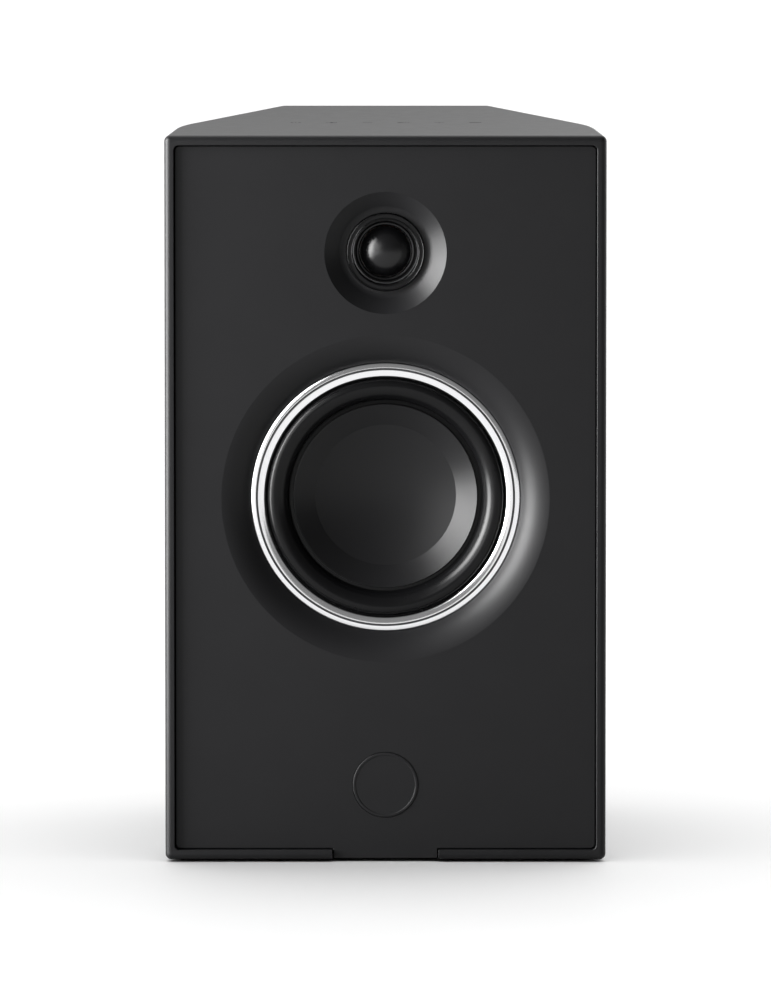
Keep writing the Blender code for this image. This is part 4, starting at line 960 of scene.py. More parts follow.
@dataclass
class Baffle(SubAssembly):
    """The front panel with its tongue, the flare, the dish and the plain medallion."""

    corner: float = 0.0018
    edge: float = 0.00035
    tongue_width: float = 0.0379
    tongue_overlap: float = 0.008
    flare_width: float = 0.0108
    flare_depth: float = 0.0072
    flare_outer: float = 11.0
    flare_inner: float = 57.0
    dish_radius: float = 0.0221
    dish_depth: float = 0.0050
    dish_slope: float = 39.5
    dish_foot: float = 0.0148
    dish_wall: float = 0.0170
    dish_web: float = 0.0030
    bezel_radius: float = 0.0140
    flange_step: float = 0.0057
    flange_depth: float = 0.0039
    badge_rim: float = 0.0011
    badge_dish: float = 0.00016
    curve_steps: int = 28

    def build(self) -> None:
        """Builds the panel and its medallion."""
        self.place = Extent.of("front_baffle")
        self.woofer, self.tweeter = Extent.of("woofer_trim_ring"), Extent.of("tweeter_faceplate")
        place, low = self.place, Extent.of("baffle_seal").low.z
        levels = eased(place.front, place.back, self.edge, self.edge)
        height = place.high.z - low
        panel = Maker().block(place.width, height, self.corner, levels, 0.0, low + height / 2)
        panel = panel.piece("baffle_panel")
        tall = low + self.tongue_overlap - place.low.z
        middle = place.low.z + tall / 2
        tongue = Maker().block(self.tongue_width, tall, self.edge, levels, 0.0, middle)
        combine(panel, "UNION", [tongue.piece("join_tongue")])
        cutters = [self._woofer_cutter(), self._tweeter_cutter(), self._badge_cutter()]
        combine(panel, "DIFFERENCE", cutters, 9.0)
        even_out(panel)
        self.hand_over(panel, PANEL_LACQUER, "baffle", ["front_baffle"])
        self._medallion()

    def _woofer_cutter(self) -> bpy.types.Object:
        """The flare, which steepens inwards, and the bores behind it.

        Returns:
            The cutter.
        """
        outer, inner = radians(self.flare_outer), radians(self.flare_inner)
        front, ring = self.place.front, self.woofer.radius
        profile = [(0.0, front - CUT), (ring + self.flare_width, front - CUT)]
        for k in range(self.curve_steps + 1):
            slope = outer + (inner - outer) * k / self.curve_steps
            inwards = (sin(slope) - sin(outer)) / (sin(inner) - sin(outer))
            down = (cos(outer) - cos(slope)) / (cos(outer) - cos(inner))
            profile.append((ring + self.flare_width * (1 - inwards), front + self.flare_depth * down))
        bore, seat = ring + GAP, Extent.of("woofer_basket")
        profile[-1] = (bore, profile[-1][1])
        ledge = seat.front + self.flange_depth
        profile += [(bore, ledge), (bore - self.flange_step, ledge)]
        profile += [(bore - self.flange_step, self.place.back + CUT), (0.0, self.place.back + CUT)]
        return Maker().revolve(profile, 0.0, self.woofer.z).piece("cut_woofer")

    def _tweeter_cutter(self) -> bpy.types.Object:
        """The dish, an even slope with a crisp edge and a rounded foot, and the pocket behind it.

        Returns:
            The cutter.
        """
        edge, front, hole = radians(self.dish_slope), self.place.front, self.bezel_radius + GAP
        profile = [(0.0, front - CUT), (self.dish_radius, front - CUT), (self.dish_radius, front)]
        bend = (self.dish_wall - self.dish_foot) / sin(edge)
        for k in range(self.curve_steps, -1, -1):
            slope = edge * k / self.curve_steps
            rise = bend * (1 - cos(slope))
            profile.append((self.dish_foot + bend * sin(slope), front + self.dish_depth - rise))
        profile.append((hole, front + self.dish_depth))
        pocket, wide = front + self.dish_depth + self.dish_web, self.tweeter.radius + GAP
        end = self.place.back + CUT
        profile += [(hole, pocket), (wide, pocket), (wide, end), (0.0, end)]
        return Maker().revolve(profile, 0.0, self.tweeter.z).piece("cut_tweeter")

    def _badge_cutter(self) -> bpy.types.Object:
        """The shallow round recess for the medallion.

        Returns:
            The cutter.
        """
        badge = Extent.of("badge_disc")
        levels = mouth(self.place.front, badge.back + GAP, GAP / 3)
        return Maker().bar(badge.radius + GAP / 2, levels, 0.0, badge.z, MEDIUM).piece("cut_badge")

    def _medallion(self) -> None:
        """Builds the plain medallion: a dished disc with a rounded rim."""
        badge = Extent.of("badge_disc")
        floor, rim = badge.front + self.badge_dish, self.badge_rim
        rim_arc = [
            (badge.radius - rim / 2 + rim / 2 * cos(a), floor - self.badge_dish * sin(a))
            for a in (pi * k / 12 for k in range(13))
        ]
        profile = [(0.0, badge.back), (badge.radius, badge.back), *rim_arc, (0.0, floor)]
        medallion = Maker().revolve(profile, 0.0, badge.z, MEDIUM).piece("plain_medallion")
        self.hand_over(medallion, PANEL_LACQUER, "baffle", ["badge_disc"])


@dataclass(frozen=True)
class HalfRoll:
    """The section of a half-roll surround, in (radius, y)."""

    middle: float
    reach: float
    height: float
    thickness: float
    level: float
    drop: float
    steps: int

    def line(self, inset: float, start: float, end: float) -> list[Pair]:
        """Part of the roll's line.

        Args:
            inset: How far the line lies inside the roll's front face.
            start: Where the part starts, in degrees from the outer foot.
            end: Where it ends.

        Returns:
            Its points.
        """
        turns = [radians(start + (end - start) * k / self.steps) for k in range(self.steps + 1)]
        reach, height = self.reach - inset, self.height - inset
        return [
            (self.middle + reach * cos(a), self.level + self.drop * (1 - cos(a)) / 2 - height * sin(a))
            for a in turns
        ]

    def part(self, start: float, end: float) -> tuple[list[Pair], list[Pair]]:
        """Both faces of part of the roll.

        Args:
            start: Where the part starts, in degrees from the outer foot.
            end: Where it ends.

        Returns:
            The front line, and the back line, which runs the other way.
        """
        return self.line(0.0, start, end), self.line(self.thickness, end, start)


@dataclass
class Woofer(SubAssembly):
    """The trim ring, the half-roll surround and the cone."""

    groove_radius: float = 0.0466
    groove: float = 0.00080
    groove_depth: float = 0.00050
    outer_drop: float = 0.00035
    inner_drop: float = 0.00022
    inner_edge: float = 0.00090
    ring_width: float = 0.0049
    ring_skirt: float = 0.0006
    roll_width: float = 0.0086
    roll_height: float = 0.0050
    roll_thickness: float = 0.0007
    lip: float = 0.0018
    drop: float = 0.0026
    cone_thickness: float = 0.0009
    band_width: float = 0.0080
    band_depth: float = 0.0046
    cap_depth: float = 0.0040
    curve_steps: int = 18

    def build(self) -> None:
        """Builds the ring, the surround and the cone."""
        self.ring = Extent.of("woofer_trim_ring")
        self.cone_place = Extent.of("woofer_cone")
        self._trim_ring()
        self._surround()
        self._cone()

    def _trim_ring(self) -> None:
        """Builds the bright ring: two bands that curve away from a fine groove between them. The groove's
        floor gets painted shade, a dark colour that stands in for the dark reflection that the polished
        groove shows.
        """
        outer, front, back = self.ring.radius, self.ring.front, self.ring.back
        crest, brink = self.groove_radius + self.groove / 2, self.groove_radius - self.groove / 2
        bore, steps = outer - self.ring_width, self.curve_steps
        rise = [k / steps for k in range(steps + 1)]
        band = [(outer + (crest - outer) * t, front + self.outer_drop * (1 - t) ** 2) for t in rise]
        turns = [pi * k / 10 for k in range(1, 10)]
        groove = [
            (self.groove_radius + self.groove / 2 * cos(a), front + self.groove_depth * sin(a)) for a in turns
        ]
        edge, ledge = bore + self.inner_edge, front + self.inner_drop
        slope = [(brink + (edge - brink) * t, front + self.inner_drop * t**2) for t in rise]
        turns = [pi / 2 * k / 8 for k in range(1, 9)]
        slope += [(edge - self.inner_edge * sin(a), ledge + self.inner_edge * (1 - cos(a))) for a in turns]
        inside = [
            (bore, back),
            (bore + self.ring_skirt, back),
            (self.groove_radius, front + self.groove_depth + self.ring_skirt),
            (outer - self.ring_skirt, front + self.outer_drop + self.ring_skirt),
            (outer - self.ring_skirt, back),
            (outer, back),
        ]
        profile = [*band, *groove, *slope, *inside]
        ring = Maker().revolve(profile, 0.0, self.ring.z, 256).piece("bright_trim_ring")
        finish = replace(POLISHED, axis_height=self.ring.z)
        self.hand_over(ring, finish, "bright_metal", ["woofer_trim_ring"])
        # The groove's floor takes a second, dark material: painted shade for the dark reflection that the
        # polished groove shows.
        ring.data.materials.append(PAINTED_GROOVE_SHADE.material())
        axis = Vector((0.0, 0.0, self.ring.z))
        for face in ring.data.polygons:
            way = face.center - axis
            painted_shade_face = abs(sqrt(way.x**2 + way.z**2) - self.groove_radius) < self.groove / 2 - WELD
            if painted_shade_face and face.center.y < front + self.groove_depth + WELD:
                face.material_index = 1

    def _surround(self) -> None:
        """Builds the surround in two halves that meet on the crest."""
        bore = self.ring.radius - self.ring_width
        lip = self.ring.back + 2 * GAP
        level = lip + self.roll_thickness
        middle, reach = bore - GAP - self.roll_width / 2, self.roll_width / 2
        thick = self.roll_thickness
        roll = HalfRoll(middle, reach, self.roll_height, thick, level, self.drop, self.curve_steps)
        face, rear = roll.part(0, 90)
        edge = bore - GAP + self.lip
        outer = [(edge, level), (edge, lip), (bore - GAP, lip), *face[1:], *rear]
        outer_half = Maker().revolve(outer, 0.0, self.ring.z).piece("surround_outer_half")
        self.hand_over(outer_half, ROLL_RUBBER, "rubber", ["woofer_surround"])

        face, rear = roll.part(90, 180)
        cone = self.cone_place
        seat = cone.front + self.cone_thickness + 2 * GAP
        inner = cone.radius - self.lip
        deepest = seat + self.lip * self.band_depth / self.band_width
        lip_line = [
            (cone.radius, seat),
            (inner, deepest),
            (inner, deepest + self.roll_thickness),
            (cone.radius, seat + self.roll_thickness),
        ]
        inner_half = Maker().revolve([*face, *lip_line, *rear], 0.0, self.ring.z)
        inner_half = inner_half.piece("surround_inner_half")
        self.dress(inner_half, ROLL_RUBBER, "rubber", ["woofer_surround"])
        self.ring.z
        self.ring.z
        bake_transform(inner_half)

    def _cone(self) -> None:
        """Builds the one-piece cone: a dished middle inside a steeper band with a rounded edge."""
        place, thick = self.cone_place, self.cone_thickness
        kink = place.radius - self.band_width
        floor = place.front + self.band_depth
        share = [k / self.curve_steps for k in range(self.curve_steps + 1)]
        middle = [(kink * t, floor + self.cap_depth * (1 - t * t)) for t in share]
        turns = [pi * k / 24 for k in range(25)]
        edge = [
            (place.radius - thick / 2 * (1 - sin(a)), place.front + thick / 2 * (1 - cos(a))) for a in turns
        ]
        band = [(kink + (edge[0][0] - kink) * t, floor + (place.front - floor) * t) for t in share[1:-1]]
        back = [(radius, y + thick) for radius, y in reversed(middle)]
        cone = Maker().revolve([*middle, *band, *edge, *back], 0.0, place.z).piece("one_piece_cone", 10.0)
        self.hand_over(cone, CONE_FINISH, "cone", ["woofer_cone"], "woofer_cone")


@dataclass
class Tweeter(SubAssembly):
    """The faceplate with its double bezel, the small surround and the dome."""

    bore: float = 0.0118
    bezel_radius: float = 0.0140
    flange_thickness: float = 0.0020
    ridge: float = 0.00050
    ridge_height: float = 0.00050
    inner_ridge: float = 0.0004
    roll_width: float = 0.0016
    thickness: float = 0.0004
    lip: float = 0.0005
    curve_steps: int = 14

    def build(self) -> None:
        """Builds the faceplate, the surround and the dome."""
        self.place = Extent.of("tweeter_faceplate")
        self.dome_place = Extent.of("tweeter_dome")
        self._faceplate()
        self._surround()
        self._dome()

    def _ridge(self, middle: float, base: float) -> list[Pair]:
        """The line of one fine raised ring, from its outside inwards.

        Args:
            middle: The ring's radius.
            base: Y of the face that it stands on.

        Returns:
            (radius, y) points.
        """
        turns = [pi * k / 8 for k in range(9)]
        return [(middle + self.ridge / 2 * cos(a), base - self.ridge_height * sin(a)) for a in turns]

    def _faceplate(self) -> None:
        """Builds the flange and the bezel, whose face has two fine ridges with a channel between them."""
        place = self.place
        face = place.front + self.ridge_height
        flange = place.back - self.flange_thickness
        inner_ridge = self.bore + self.inner_ridge
        outer_ridge = self.bezel_radius - self.ridge / 2
        profile = [
            (self.bezel_radius, flange),
            (self.bezel_radius, face + self.ridge),
            *self._ridge(outer_ridge, face),
            *self._ridge(inner_ridge, face),
            (self.bore, face + self.ridge),
            (self.bore, place.back),
            (place.radius, place.back),
            (place.radius, flange),
        ]
        plate = Maker().revolve(profile, 0.0, place.z).piece("tweeter_bezel")
        self.hand_over(plate, BEZEL_PLASTIC, "black_plastic", ["tweeter_faceplate"])

    def _surround(self) -> None:
        """Builds the small half roll in two halves, as on the woofer."""
        base, rim = self.place.back - GAP, self.bore - GAP - self.lip
        middle, reach = rim - self.roll_width / 2, self.roll_width / 2
        roll = HalfRoll(middle, reach, reach, self.thickness, base, 0.0, self.curve_steps)
        face, rear = roll.part(0, 90)
        edge, lip = self.bore - GAP, base - self.thickness
        seated = [point for point in face if point[1] < lip]
        outer = [(edge, base), (edge, lip), (rim, lip), *seated, *rear]
        outer_half = Maker().revolve(outer, 0.0, self.place.z, MEDIUM).piece("dome_surround_outer_half")
        self.hand_over(outer_half, SILK, "silk", ["tweeter_surround"])
        face, rear = roll.part(90, 180)
        inner_half = Maker().revolve([*face, *rear], 0.0, self.place.z, MEDIUM)
        inner_half = inner_half.piece("dome_surround_inner_half")
        self.dress(inner_half, SILK, "silk", ["tweeter_surround"])
        z = self.place.z
        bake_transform(inner_half)

    def _dome(self) -> None:
        """Builds the dome: part of a sphere."""
        place, thick = self.dome_place, self.thickness
        height = place.back - thick - place.front
        curve = (place.radius**2 + height**2) / (2 * height)
        line = []
        for k in range(self.curve_steps * 2 + 1):
            radius = place.radius * k / (self.curve_steps * 2)
            line.append((radius, place.front + curve - sqrt(curve**2 - radius**2)))
        back = [(radius, y + thick) for radius, y in reversed(line)]
        dome = Maker().revolve([*line, *back], 0.0, place.z, MEDIUM).piece("silk_dome", 60.0)
        self.hand_over(dome, SILK, "silk", ["tweeter_dome"], "tweeter_dome")


@dataclass
class ReflexPort(SubAssembly):
    """The port tube, flared at both ends."""

    radius: float = 0.0150
    wall: float = 0.0020
    mouth: float = 0.0060
    mouth_length: float = 0.0090
    collar_thickness: float = 0.0020
    curve_steps: int = 16

    def build(self) -> None:
        """Builds the tube with its collar."""
        place = Extent.of("port_tube")
        wide = self.radius + self.mouth
        turns = [pi / 2 * k / self.curve_steps for k in range(self.curve_steps + 1)]
        back = [(wide - self.mouth * sin(a), place.back - self.mouth_length * (1 - cos(a))) for a in turns]
        front = [(r, place.front + place.back - y) for r, y in reversed(back)]
        shoulder = place.back - self.collar_thickness
        tube, round_edge = self.radius + self.wall, 0.0004
        rim = arc((place.radius - round_edge, place.back - round_edge), round_edge, 0, 90, 5)
        outside = [
            (wide, place.front + self.wall),
            (tube, place.front + self.mouth_length),
            (tube, place.back - self.mouth_length),
            (wide, shoulder - self.collar_thickness),
            (wide, shoulder),
            (place.radius, shoulder),
            *rim,
        ]
        port = Maker().revolve([*back, *front, *outside], 0.0, place.z, FINE).piece("flared_port")
        self.hand_over(port, BLACK_PLASTIC, "black_plastic", ["port_tube"])


@dataclass
class RearPanel(SubAssembly):
    """The connection plate and everything on it."""

    corner: float = 0.0040
    plate_edge: float = 0.00025
    window_corner: float = 0.0004
    screw_hole: float = 0.0015
    screw_head: float = 0.0009
    screw_shank: float = 0.0012
    jack_radius: float = 0.0042
    jack_bore: float = 0.0017
    jack_collar: float = 0.0010
    socket_depth: float = 0.0080
    stud: float = 0.0030
    post_collar: float = 0.0030
    cap_socket: float = 0.0021
    cap_flutes: int = 18
    flute_depth: float = 0.00045
    inlet_mouth: Pair = (0.0172, 0.0078)
    inlet_depth: float = 0.0130
    inlet_flange: float = 0.0020
    pin_radius: float = 0.0012
    pin_spacing: float = 0.0086
    pin_length: float = 0.0100
    border: float = 0.0022
    pocket: float = 0.0085
    button_radius: float = 0.0026
    rocker_half: float = 0.0080
    rocker_stand: float = 0.0020
    rocker_hollow: float = 0.0011
    print_lift: float = 0.00004
    knob: float = 0.0030
    travel: float = 0.0030
    fit: float = 0.0004

    def build(self) -> None:
        """Builds the plate and its pieces."""
        self.plate = Extent.of("rear_plate")
        self.seat = self.plate.back + GAP
        self.inlet, self.switch = Extent.of("mains_inlet"), Extent.of("power_switch_frame")
        self.posts = {side: Extent.of(f"terminal_cap_{side}") for side in ("red", "black")}
        self._plate()
        for number in range(1, 5):
            self._screw(number)
        jacks = {"line_in_left": WHITE_PLASTIC, "line_in_right": RED_PLASTIC, "sub_out": BLACK_PLASTIC}
        slots = {"line_in_left": "white_plastic", "line_in_right": "red_plastic", "sub_out": "black_plastic"}
        for name, finish in jacks.items():
            self._jack(name, finish, slots[name])
        for side, finish in (("red", RED_PLASTIC), ("black", BLACK_PLASTIC)):
            self._post(side, finish)
        self._digital_socket()
        self._optical_socket()
        self._inlet()
        self._switch()
        self._button()
        self._slider()
        self._prints()

    def _plate(self) -> None:
        """Builds the plate with a hole for each piece that passes through it."""
        place = self.plate
        levels = eased(place.front, place.back, 0.0, self.plate_edge)
        plate = Maker().block(place.width, place.height, self.corner, levels, place.x, place.z)
        plate = plate.piece("connection_plate")
        combine(plate, "DIFFERENCE", self._plate_cutters())
        even_out(plate)
        self.hand_over(plate, ANODISED, "aluminium", ["rear_plate"])

    def _plate_cutters(self) -> list[bpy.types.Object]:
        """A cutter for each piece that passes through the plate.

        Returns:
            The cutters.
        """
        cutters = []
        for number in range(1, 5):
            screw = Extent.of(f"rear_screw_{number}")
            cutters.append(self._hole(f"screw_{number}", self.screw_hole, screw))
        for name in ("line_in_left", "line_in_right", "sub_out"):
            cutters.append(self._hole(name, self.jack_radius + self.fit, Extent.of(f"{name}_jack")))
        for side, post in self.posts.items():
            cutters.append(self._hole(f"post_{side}", self.stud + self.fit, post))
        for name in ("digital_socket", "optical_socket"):
            socket = Extent.of(name)
            size = (socket.width + 2 * GAP, socket.height + 2 * GAP)
            cutters.append(self._window(name, *size, socket.x, socket.z))
        inlet, switch, inset = self.inlet, self.switch, self.inlet_flange
        size = (inlet.width - 2 * inset + 2 * GAP, inlet.height - 2 * inset + 2 * GAP)
        cutters.append(self._window("inlet", *size, inlet.x, inlet.z))
        size = (switch.width - self.border, switch.height - self.border)
        cutters.append(self._window("switch", *size, switch.x, switch.z))
        button, slider = Extent.of("pairing_button"), Extent.of("channel_slider")
        cutters.append(self._hole("button", self.button_radius + self.fit, button))
        size = (self.knob + self.travel + 2 * self.fit, slider.height + 2 * self.fit)
        cutters.append(self._window("slider", *size, slider.x + self.travel / 2, slider.z))
        return cutters

    def _through(self) -> list[Pair]:
        """The levels of a cutter that runs right through the plate."""
        return [(self.plate.front - CUT / 4, 0.0), (self.plate.back + CUT / 4, 0.0)]

    def _hole(self, name: str, radius: float, at: Extent) -> bpy.types.Object:
        """A round cutter through the plate.

        Args:
            name: What passes through it.
            radius: Its radius.
            at: The piece that it is in line with.

        Returns:
            The cutter.
        """
        return Maker().bar(radius, self._through(), at.x, at.z).piece(f"cut_{name}")

    def _window(self, name: str, width: float, height: float, x: float, z: float) -> bpy.types.Object:
        """A rectangular cutter through the plate.

        Args:
            name: What passes through it.
            width: Its width.
            height: Its height.
            x: Its middle, across.
            z: Its middle, in height.

        Returns:
            The cutter.
        """
        cutter = Maker().block(width, height, self.window_corner, self._through(), x, z)
        return cutter.piece(f"cut_{name}")

    def _screw(self, number: int) -> None:
        """Builds one pan-head screw with a cross recess.

        Args:
            number: Which screw.
        """
        place = Extent.of(f"rear_screw_{number}")
        head, shank = place.radius, self.screw_shank
        base = place.back - self.screw_head
        turns = [pi / 2 * k / 8 for k in range(8)]
        crown = [(head * cos(a), base + self.screw_head * sin(a) ** 0.8) for a in turns]
        profile = [(0.0, place.front), (shank, place.front), (shank, base), *crown, (0.0, place.back)]
        screw = Maker().revolve(profile, place.x, place.z, SMALL).piece(f"cross_head_screw_{number}")
        slot, reach, depth, corner = 0.0004, 0.0011, 0.0005, 0.00008
        levels = [(place.back - depth, 0.0), (place.back + CUT, 0.0)]
        arms = [
            Maker().block(w, h, corner, levels, place.x, place.z).piece(f"cut_arm_{w}")
            for w, h in ((2 * reach, slot), (slot, 2 * reach))
        ]
        combine(screw, "DIFFERENCE", arms)
        self.hand_over(screw, STEEL, "steel", [f"rear_screw_{number}"])

    def _jack(self, name: str, finish: Finish, slot: str) -> None:
        """Builds one signal jack: a plated sleeve, and a coloured insert that shows at its mouth and collar.

        Args:
            name: The jack's name.
            finish: The insert's finish.
            slot: The insert's material slot.
        """
        place = Extent.of(f"{name}_jack")
        collar, neck = place.radius, self.seat + self.jack_collar
        edge, wall, recess, play = 0.0003, 0.0007, 0.0006, 0.00002
        sleeve_rim = arc((self.jack_radius - edge, place.back - edge), edge, 0, 90, 5)
        bore = self.jack_radius - wall
        sleeve = [(self.jack_radius, neck + WELD), *sleeve_rim, (bore, place.back), (bore, neck + WELD)]
        metal = Maker().revolve(sleeve, place.x, place.z, MEDIUM).piece(f"{name}_sleeve")
        self.hand_over(metal, NICKEL, "steel", [f"{name}_jack"])
        rim = arc((collar - edge, neck - edge), edge, 0, 90, 5)
        face, inner = place.back - recess, bore - play
        insert = [
            (0.0, place.front),
            (self.jack_radius, place.front),
            (self.jack_radius, self.seat),
            (collar, self.seat),
            *rim,
            (inner, neck),
            (inner, face),
            (self.jack_bore, face),
            (self.jack_bore, neck),
            (0.0, neck),
        ]
        plastic = Maker().revolve(insert, place.x, place.z, MEDIUM).piece(f"{name}_insert")
        self.hand_over(plastic, finish, slot, [f"{name}_jack"])

    def _post(self, side: str, finish: Finish) -> None:
        """Builds one binding post: a collar and stud that stay, and a fluted cap that turns.

        Args:
            side: Its colour's name.
            finish: The cap's finish.
        """
        base, cap = Extent.of(f"terminal_base_{side}"), self.posts[side]
        top, edge = self.seat + self.post_collar, 0.0004
        rim = arc((base.radius - edge, top - edge), edge, 0, 90, 5)
        profile = [
            (0.0, base.front),
            (self.stud, base.front),
            (self.stud, self.seat),
            (base.radius, self.seat),
            *rim,
            (self.stud, top),
            (self.stud, base.back),
            (0.0, base.back),
        ]
        fixed = Maker().revolve(profile, base.x, base.z, MEDIUM).piece(f"post_base_{side}")
        self.hand_over(fixed, GOLD, "steel", [f"terminal_base_{side}"])
        self._cap(side, cap, base.back, finish)

    def _cap(self, side: str, cap: Extent, stud_end: float, finish: Finish) -> None:
        """Builds a fluted cap with a plug hole in its end and a bore for its stud.

        Args:
            side: Its colour's name.
            cap: Where it lies.
            stud_end: Y of the stud's end.
            finish: The cap's finish.
        """
        per_flute, front_edge, edge, lip = 10, 0.0004, 0.0007, 0.0003
        sides = self.cap_flutes * per_flute
        rings = []
        for y, inset in eased(cap.front, cap.back, front_edge, edge):
            share = min(1.0, max(0.0, (cap.back - edge - y) / edge))
            ring = []
            for k in range(sides):
                angle = 2 * pi * k / sides
                flute = self.flute_depth * share * (0.5 - 0.5 * cos(self.cap_flutes * angle)) ** 2
                radius = cap.radius - inset - flute
                ring.append((cap.x + radius * cos(angle), y, cap.z + radius * sin(angle)))
            rings.append(ring)
        grip = Maker().loft(rings).piece(f"post_cap_{side}", 40.0)
        levels = [(cap.front - CUT, 0.0), (stud_end + self.fit, 0.0)]
        bore = Maker().bar(self.stud + self.fit, levels, cap.x, cap.z)
        plug = Maker().bar(self.cap_socket, mouth(cap.back, cap.front, lip), cap.x, cap.z)
        combine(grip, "DIFFERENCE", [bore.piece("cut_bore"), plug.piece("cut_plug")], 40.0)
        even_out(grip)
        node = f"terminal_cap_{side}"
        self.hand_over(grip, finish, f"{side}_plastic", [node], node)

    def _digital_socket(self) -> None:
        """Builds the flat digital socket: a thin metal shell with a tongue inside."""
        place, wall, edge = Extent.of("digital_socket"), 0.0006, 0.0002
        outer_corner, inner_corner, tongue_corner = 0.0009, 0.0005, 0.0003
        thickness, above, setback = 0.0014, 0.0004, 0.0012
        floor, tip = place.back - self.socket_depth, place.back - setback
        levels = eased(place.front, place.back, 0.0, edge)
        shell = Maker().block(place.width, place.height, outer_corner, levels, place.x, place.z)
        shell = shell.piece("digital_shell")
        size = (place.width - 2 * wall, place.height - 2 * wall)
        hollow = Maker().block(*size, inner_corner, mouth(place.back, floor, edge), place.x, place.z)
        combine(shell, "DIFFERENCE", [hollow.piece("cut_digital")])
        even_out(shell)
        self.hand_over(shell, NICKEL, "steel", ["digital_socket"])
        size, levels = (place.width - 6 * wall, thickness), eased(floor, tip, 0.0, edge)
        tongue = Maker().block(*size, tongue_corner, levels, place.x, place.z + above)
        self.hand_over(tongue.piece("digital_tongue"), BLACK_PLASTIC, "black_plastic", [])

    def _optical_socket(self) -> None:
        """Builds the square optical socket with its hinged dust shutter, closed."""
        place, wall, edge, lip = Extent.of("optical_socket"), 0.0018, 0.0003, 0.0002
        corner, shutter_corner, setback, thickness = 0.0008, 0.0006, 0.0020, 0.0010
        levels = eased(place.front, place.back, 0.0, edge)
        shell = Maker().block(place.width, place.height, corner, levels, place.x, place.z)
        shell = shell.piece("optical_shell")
        inner = place.width - 2 * wall
        levels = mouth(place.back, place.back - self.socket_depth, lip)
        hollow = Maker().block(inner, inner, corner, levels, place.x, place.z)
        combine(shell, "DIFFERENCE", [hollow.piece("cut_optical")])
        even_out(shell)
        self.hand_over(shell, BLACK_PLASTIC, "black_plastic", ["optical_socket"])
        face = place.back - setback
        levels = eased(face - thickness, face, 0.0, lip)
        size = inner - 2 * GAP
        shutter = Maker().block(size, size, shutter_corner, levels, place.x, place.z).piece("optical_shutter")
        self.hand_over(shutter, GREY_PLASTIC, "black_plastic", [])

    def _inlet(self) -> None:
        """Builds the two-pin mains inlet: a flanged block, a slot with round ends and two pins."""
        place, inset, edge = self.inlet, self.inlet_flange, 0.0004
        corner, neck_corner, pin_root, pin_edge = 0.0022, 0.0010, 0.0010, 0.0006
        levels = eased(self.seat, place.back, 0.0, edge)
        block = Maker().block(place.width, place.height, corner, levels, place.x, place.z)
        body = [(place.front, 0.0), (self.seat + WELD * 10, 0.0)]
        size = (place.width - 2 * inset, place.height - 2 * inset)
        neck = Maker().block(*size, neck_corner, body, place.x, place.z)
        inlet = block.piece("inlet_block")
        combine(inlet, "UNION", [neck.piece("join_neck")])
        wide, tall = self.inlet_mouth
        floor = place.back - self.inlet_depth
        levels = mouth(place.back, floor, edge)
        slot = Maker().block(wide, tall, tall / 2 - 10 * WELD, levels, place.x, place.z)
        combine(inlet, "DIFFERENCE", [slot.piece("cut_slot")])
        even_out(inlet)
        self.hand_over(inlet, BLACK_PLASTIC, "black_plastic", ["mains_inlet"])
        pins = Maker()
        for side in (-1, 1):
            levels = eased(floor - pin_root, floor + self.pin_length, 0.0, pin_edge)
            pins.bar(self.pin_radius, levels, place.x + side * self.pin_spacing / 2, place.z)
        self.hand_over(pins.piece("inlet_pins"), NICKEL, "steel", [])

    def _switch(self) -> None:
        """Builds the switch frame, the rocker with its curved face, and the two marks on it."""
        place, edge, lip = self.switch, 0.0004, 0.0003
        corner, neck_corner, pocket_corner = 0.0015, 0.0008, 0.0005
        levels = eased(self.seat, place.back, 0.0, edge)
        switch = Maker().block(place.width, place.height, corner, levels, place.x, place.z)
        switch = switch.piece("switch_bezel")
        body = [(place.front, 0.0), (self.seat + WELD * 10, 0.0)]
        size = (place.width - self.border, place.height - self.border)
        neck = Maker().block(size[0] - GAP * 2, size[1] - GAP * 2, neck_corner, body, place.x, place.z)
        combine(switch, "UNION", [neck.piece("join_neck")])
        size = (place.width - 2 * self.border, place.height - 2 * self.border)
        levels = mouth(place.back, place.back - self.pocket, lip)
        hollow = Maker().block(*size, pocket_corner, levels, place.x, place.z)
        combine(switch, "DIFFERENCE", [hollow.piece("cut_pocket")])
        even_out(switch)
        self.hand_over(switch, BLACK_PLASTIC, "black_plastic", ["power_switch_frame"])
        self._rocker()

    def _rocker(self) -> None:
        """Builds the rocker, whose face is a shallow hollow, tilted as it rests, and its two marks."""
        joint = next(j for j in frame["joints"] if j["child"] == "power_rocker")
        hinge, tilt = Vector(joint["pos_m"]), radians(-min(joint["range_deg"]) / 2)
        half, wide, edge = self.rocker_half, Extent.of("power_rocker").width / 2, 0.0004
        deep, tuck, steps = 0.0040, 0.0014, 20
        heights = [half * (2 * k / steps - 1) for k in range(steps + 1)]
        line = [(self._rocker_face(v), v) for v in heights]
        foot = half - 2 * tuck
        outline = [*line, (0.0, half - tuck / 2), (-deep, foot), (-deep, -foot), (0.0, tuck / 2 - half)]
        rings = []
        for x, inset in eased(-wide, wide, edge, edge):
            drawn = [(u - inset * (1 if u > 0 else -1), v * (1 - inset / half)) for u, v in outline]
            rings.append([self._tilted(hinge, tilt, x, u, v) for u, v in drawn])
        rocker = Maker().loft(rings).piece("rocker_key", 40.0)
        even_out(rocker)
        self.hand_over(rocker, BLACK_PLASTIC, "black_plastic", ["power_rocker"], "power_rocker")
        self._rocker_marks(hinge, tilt)

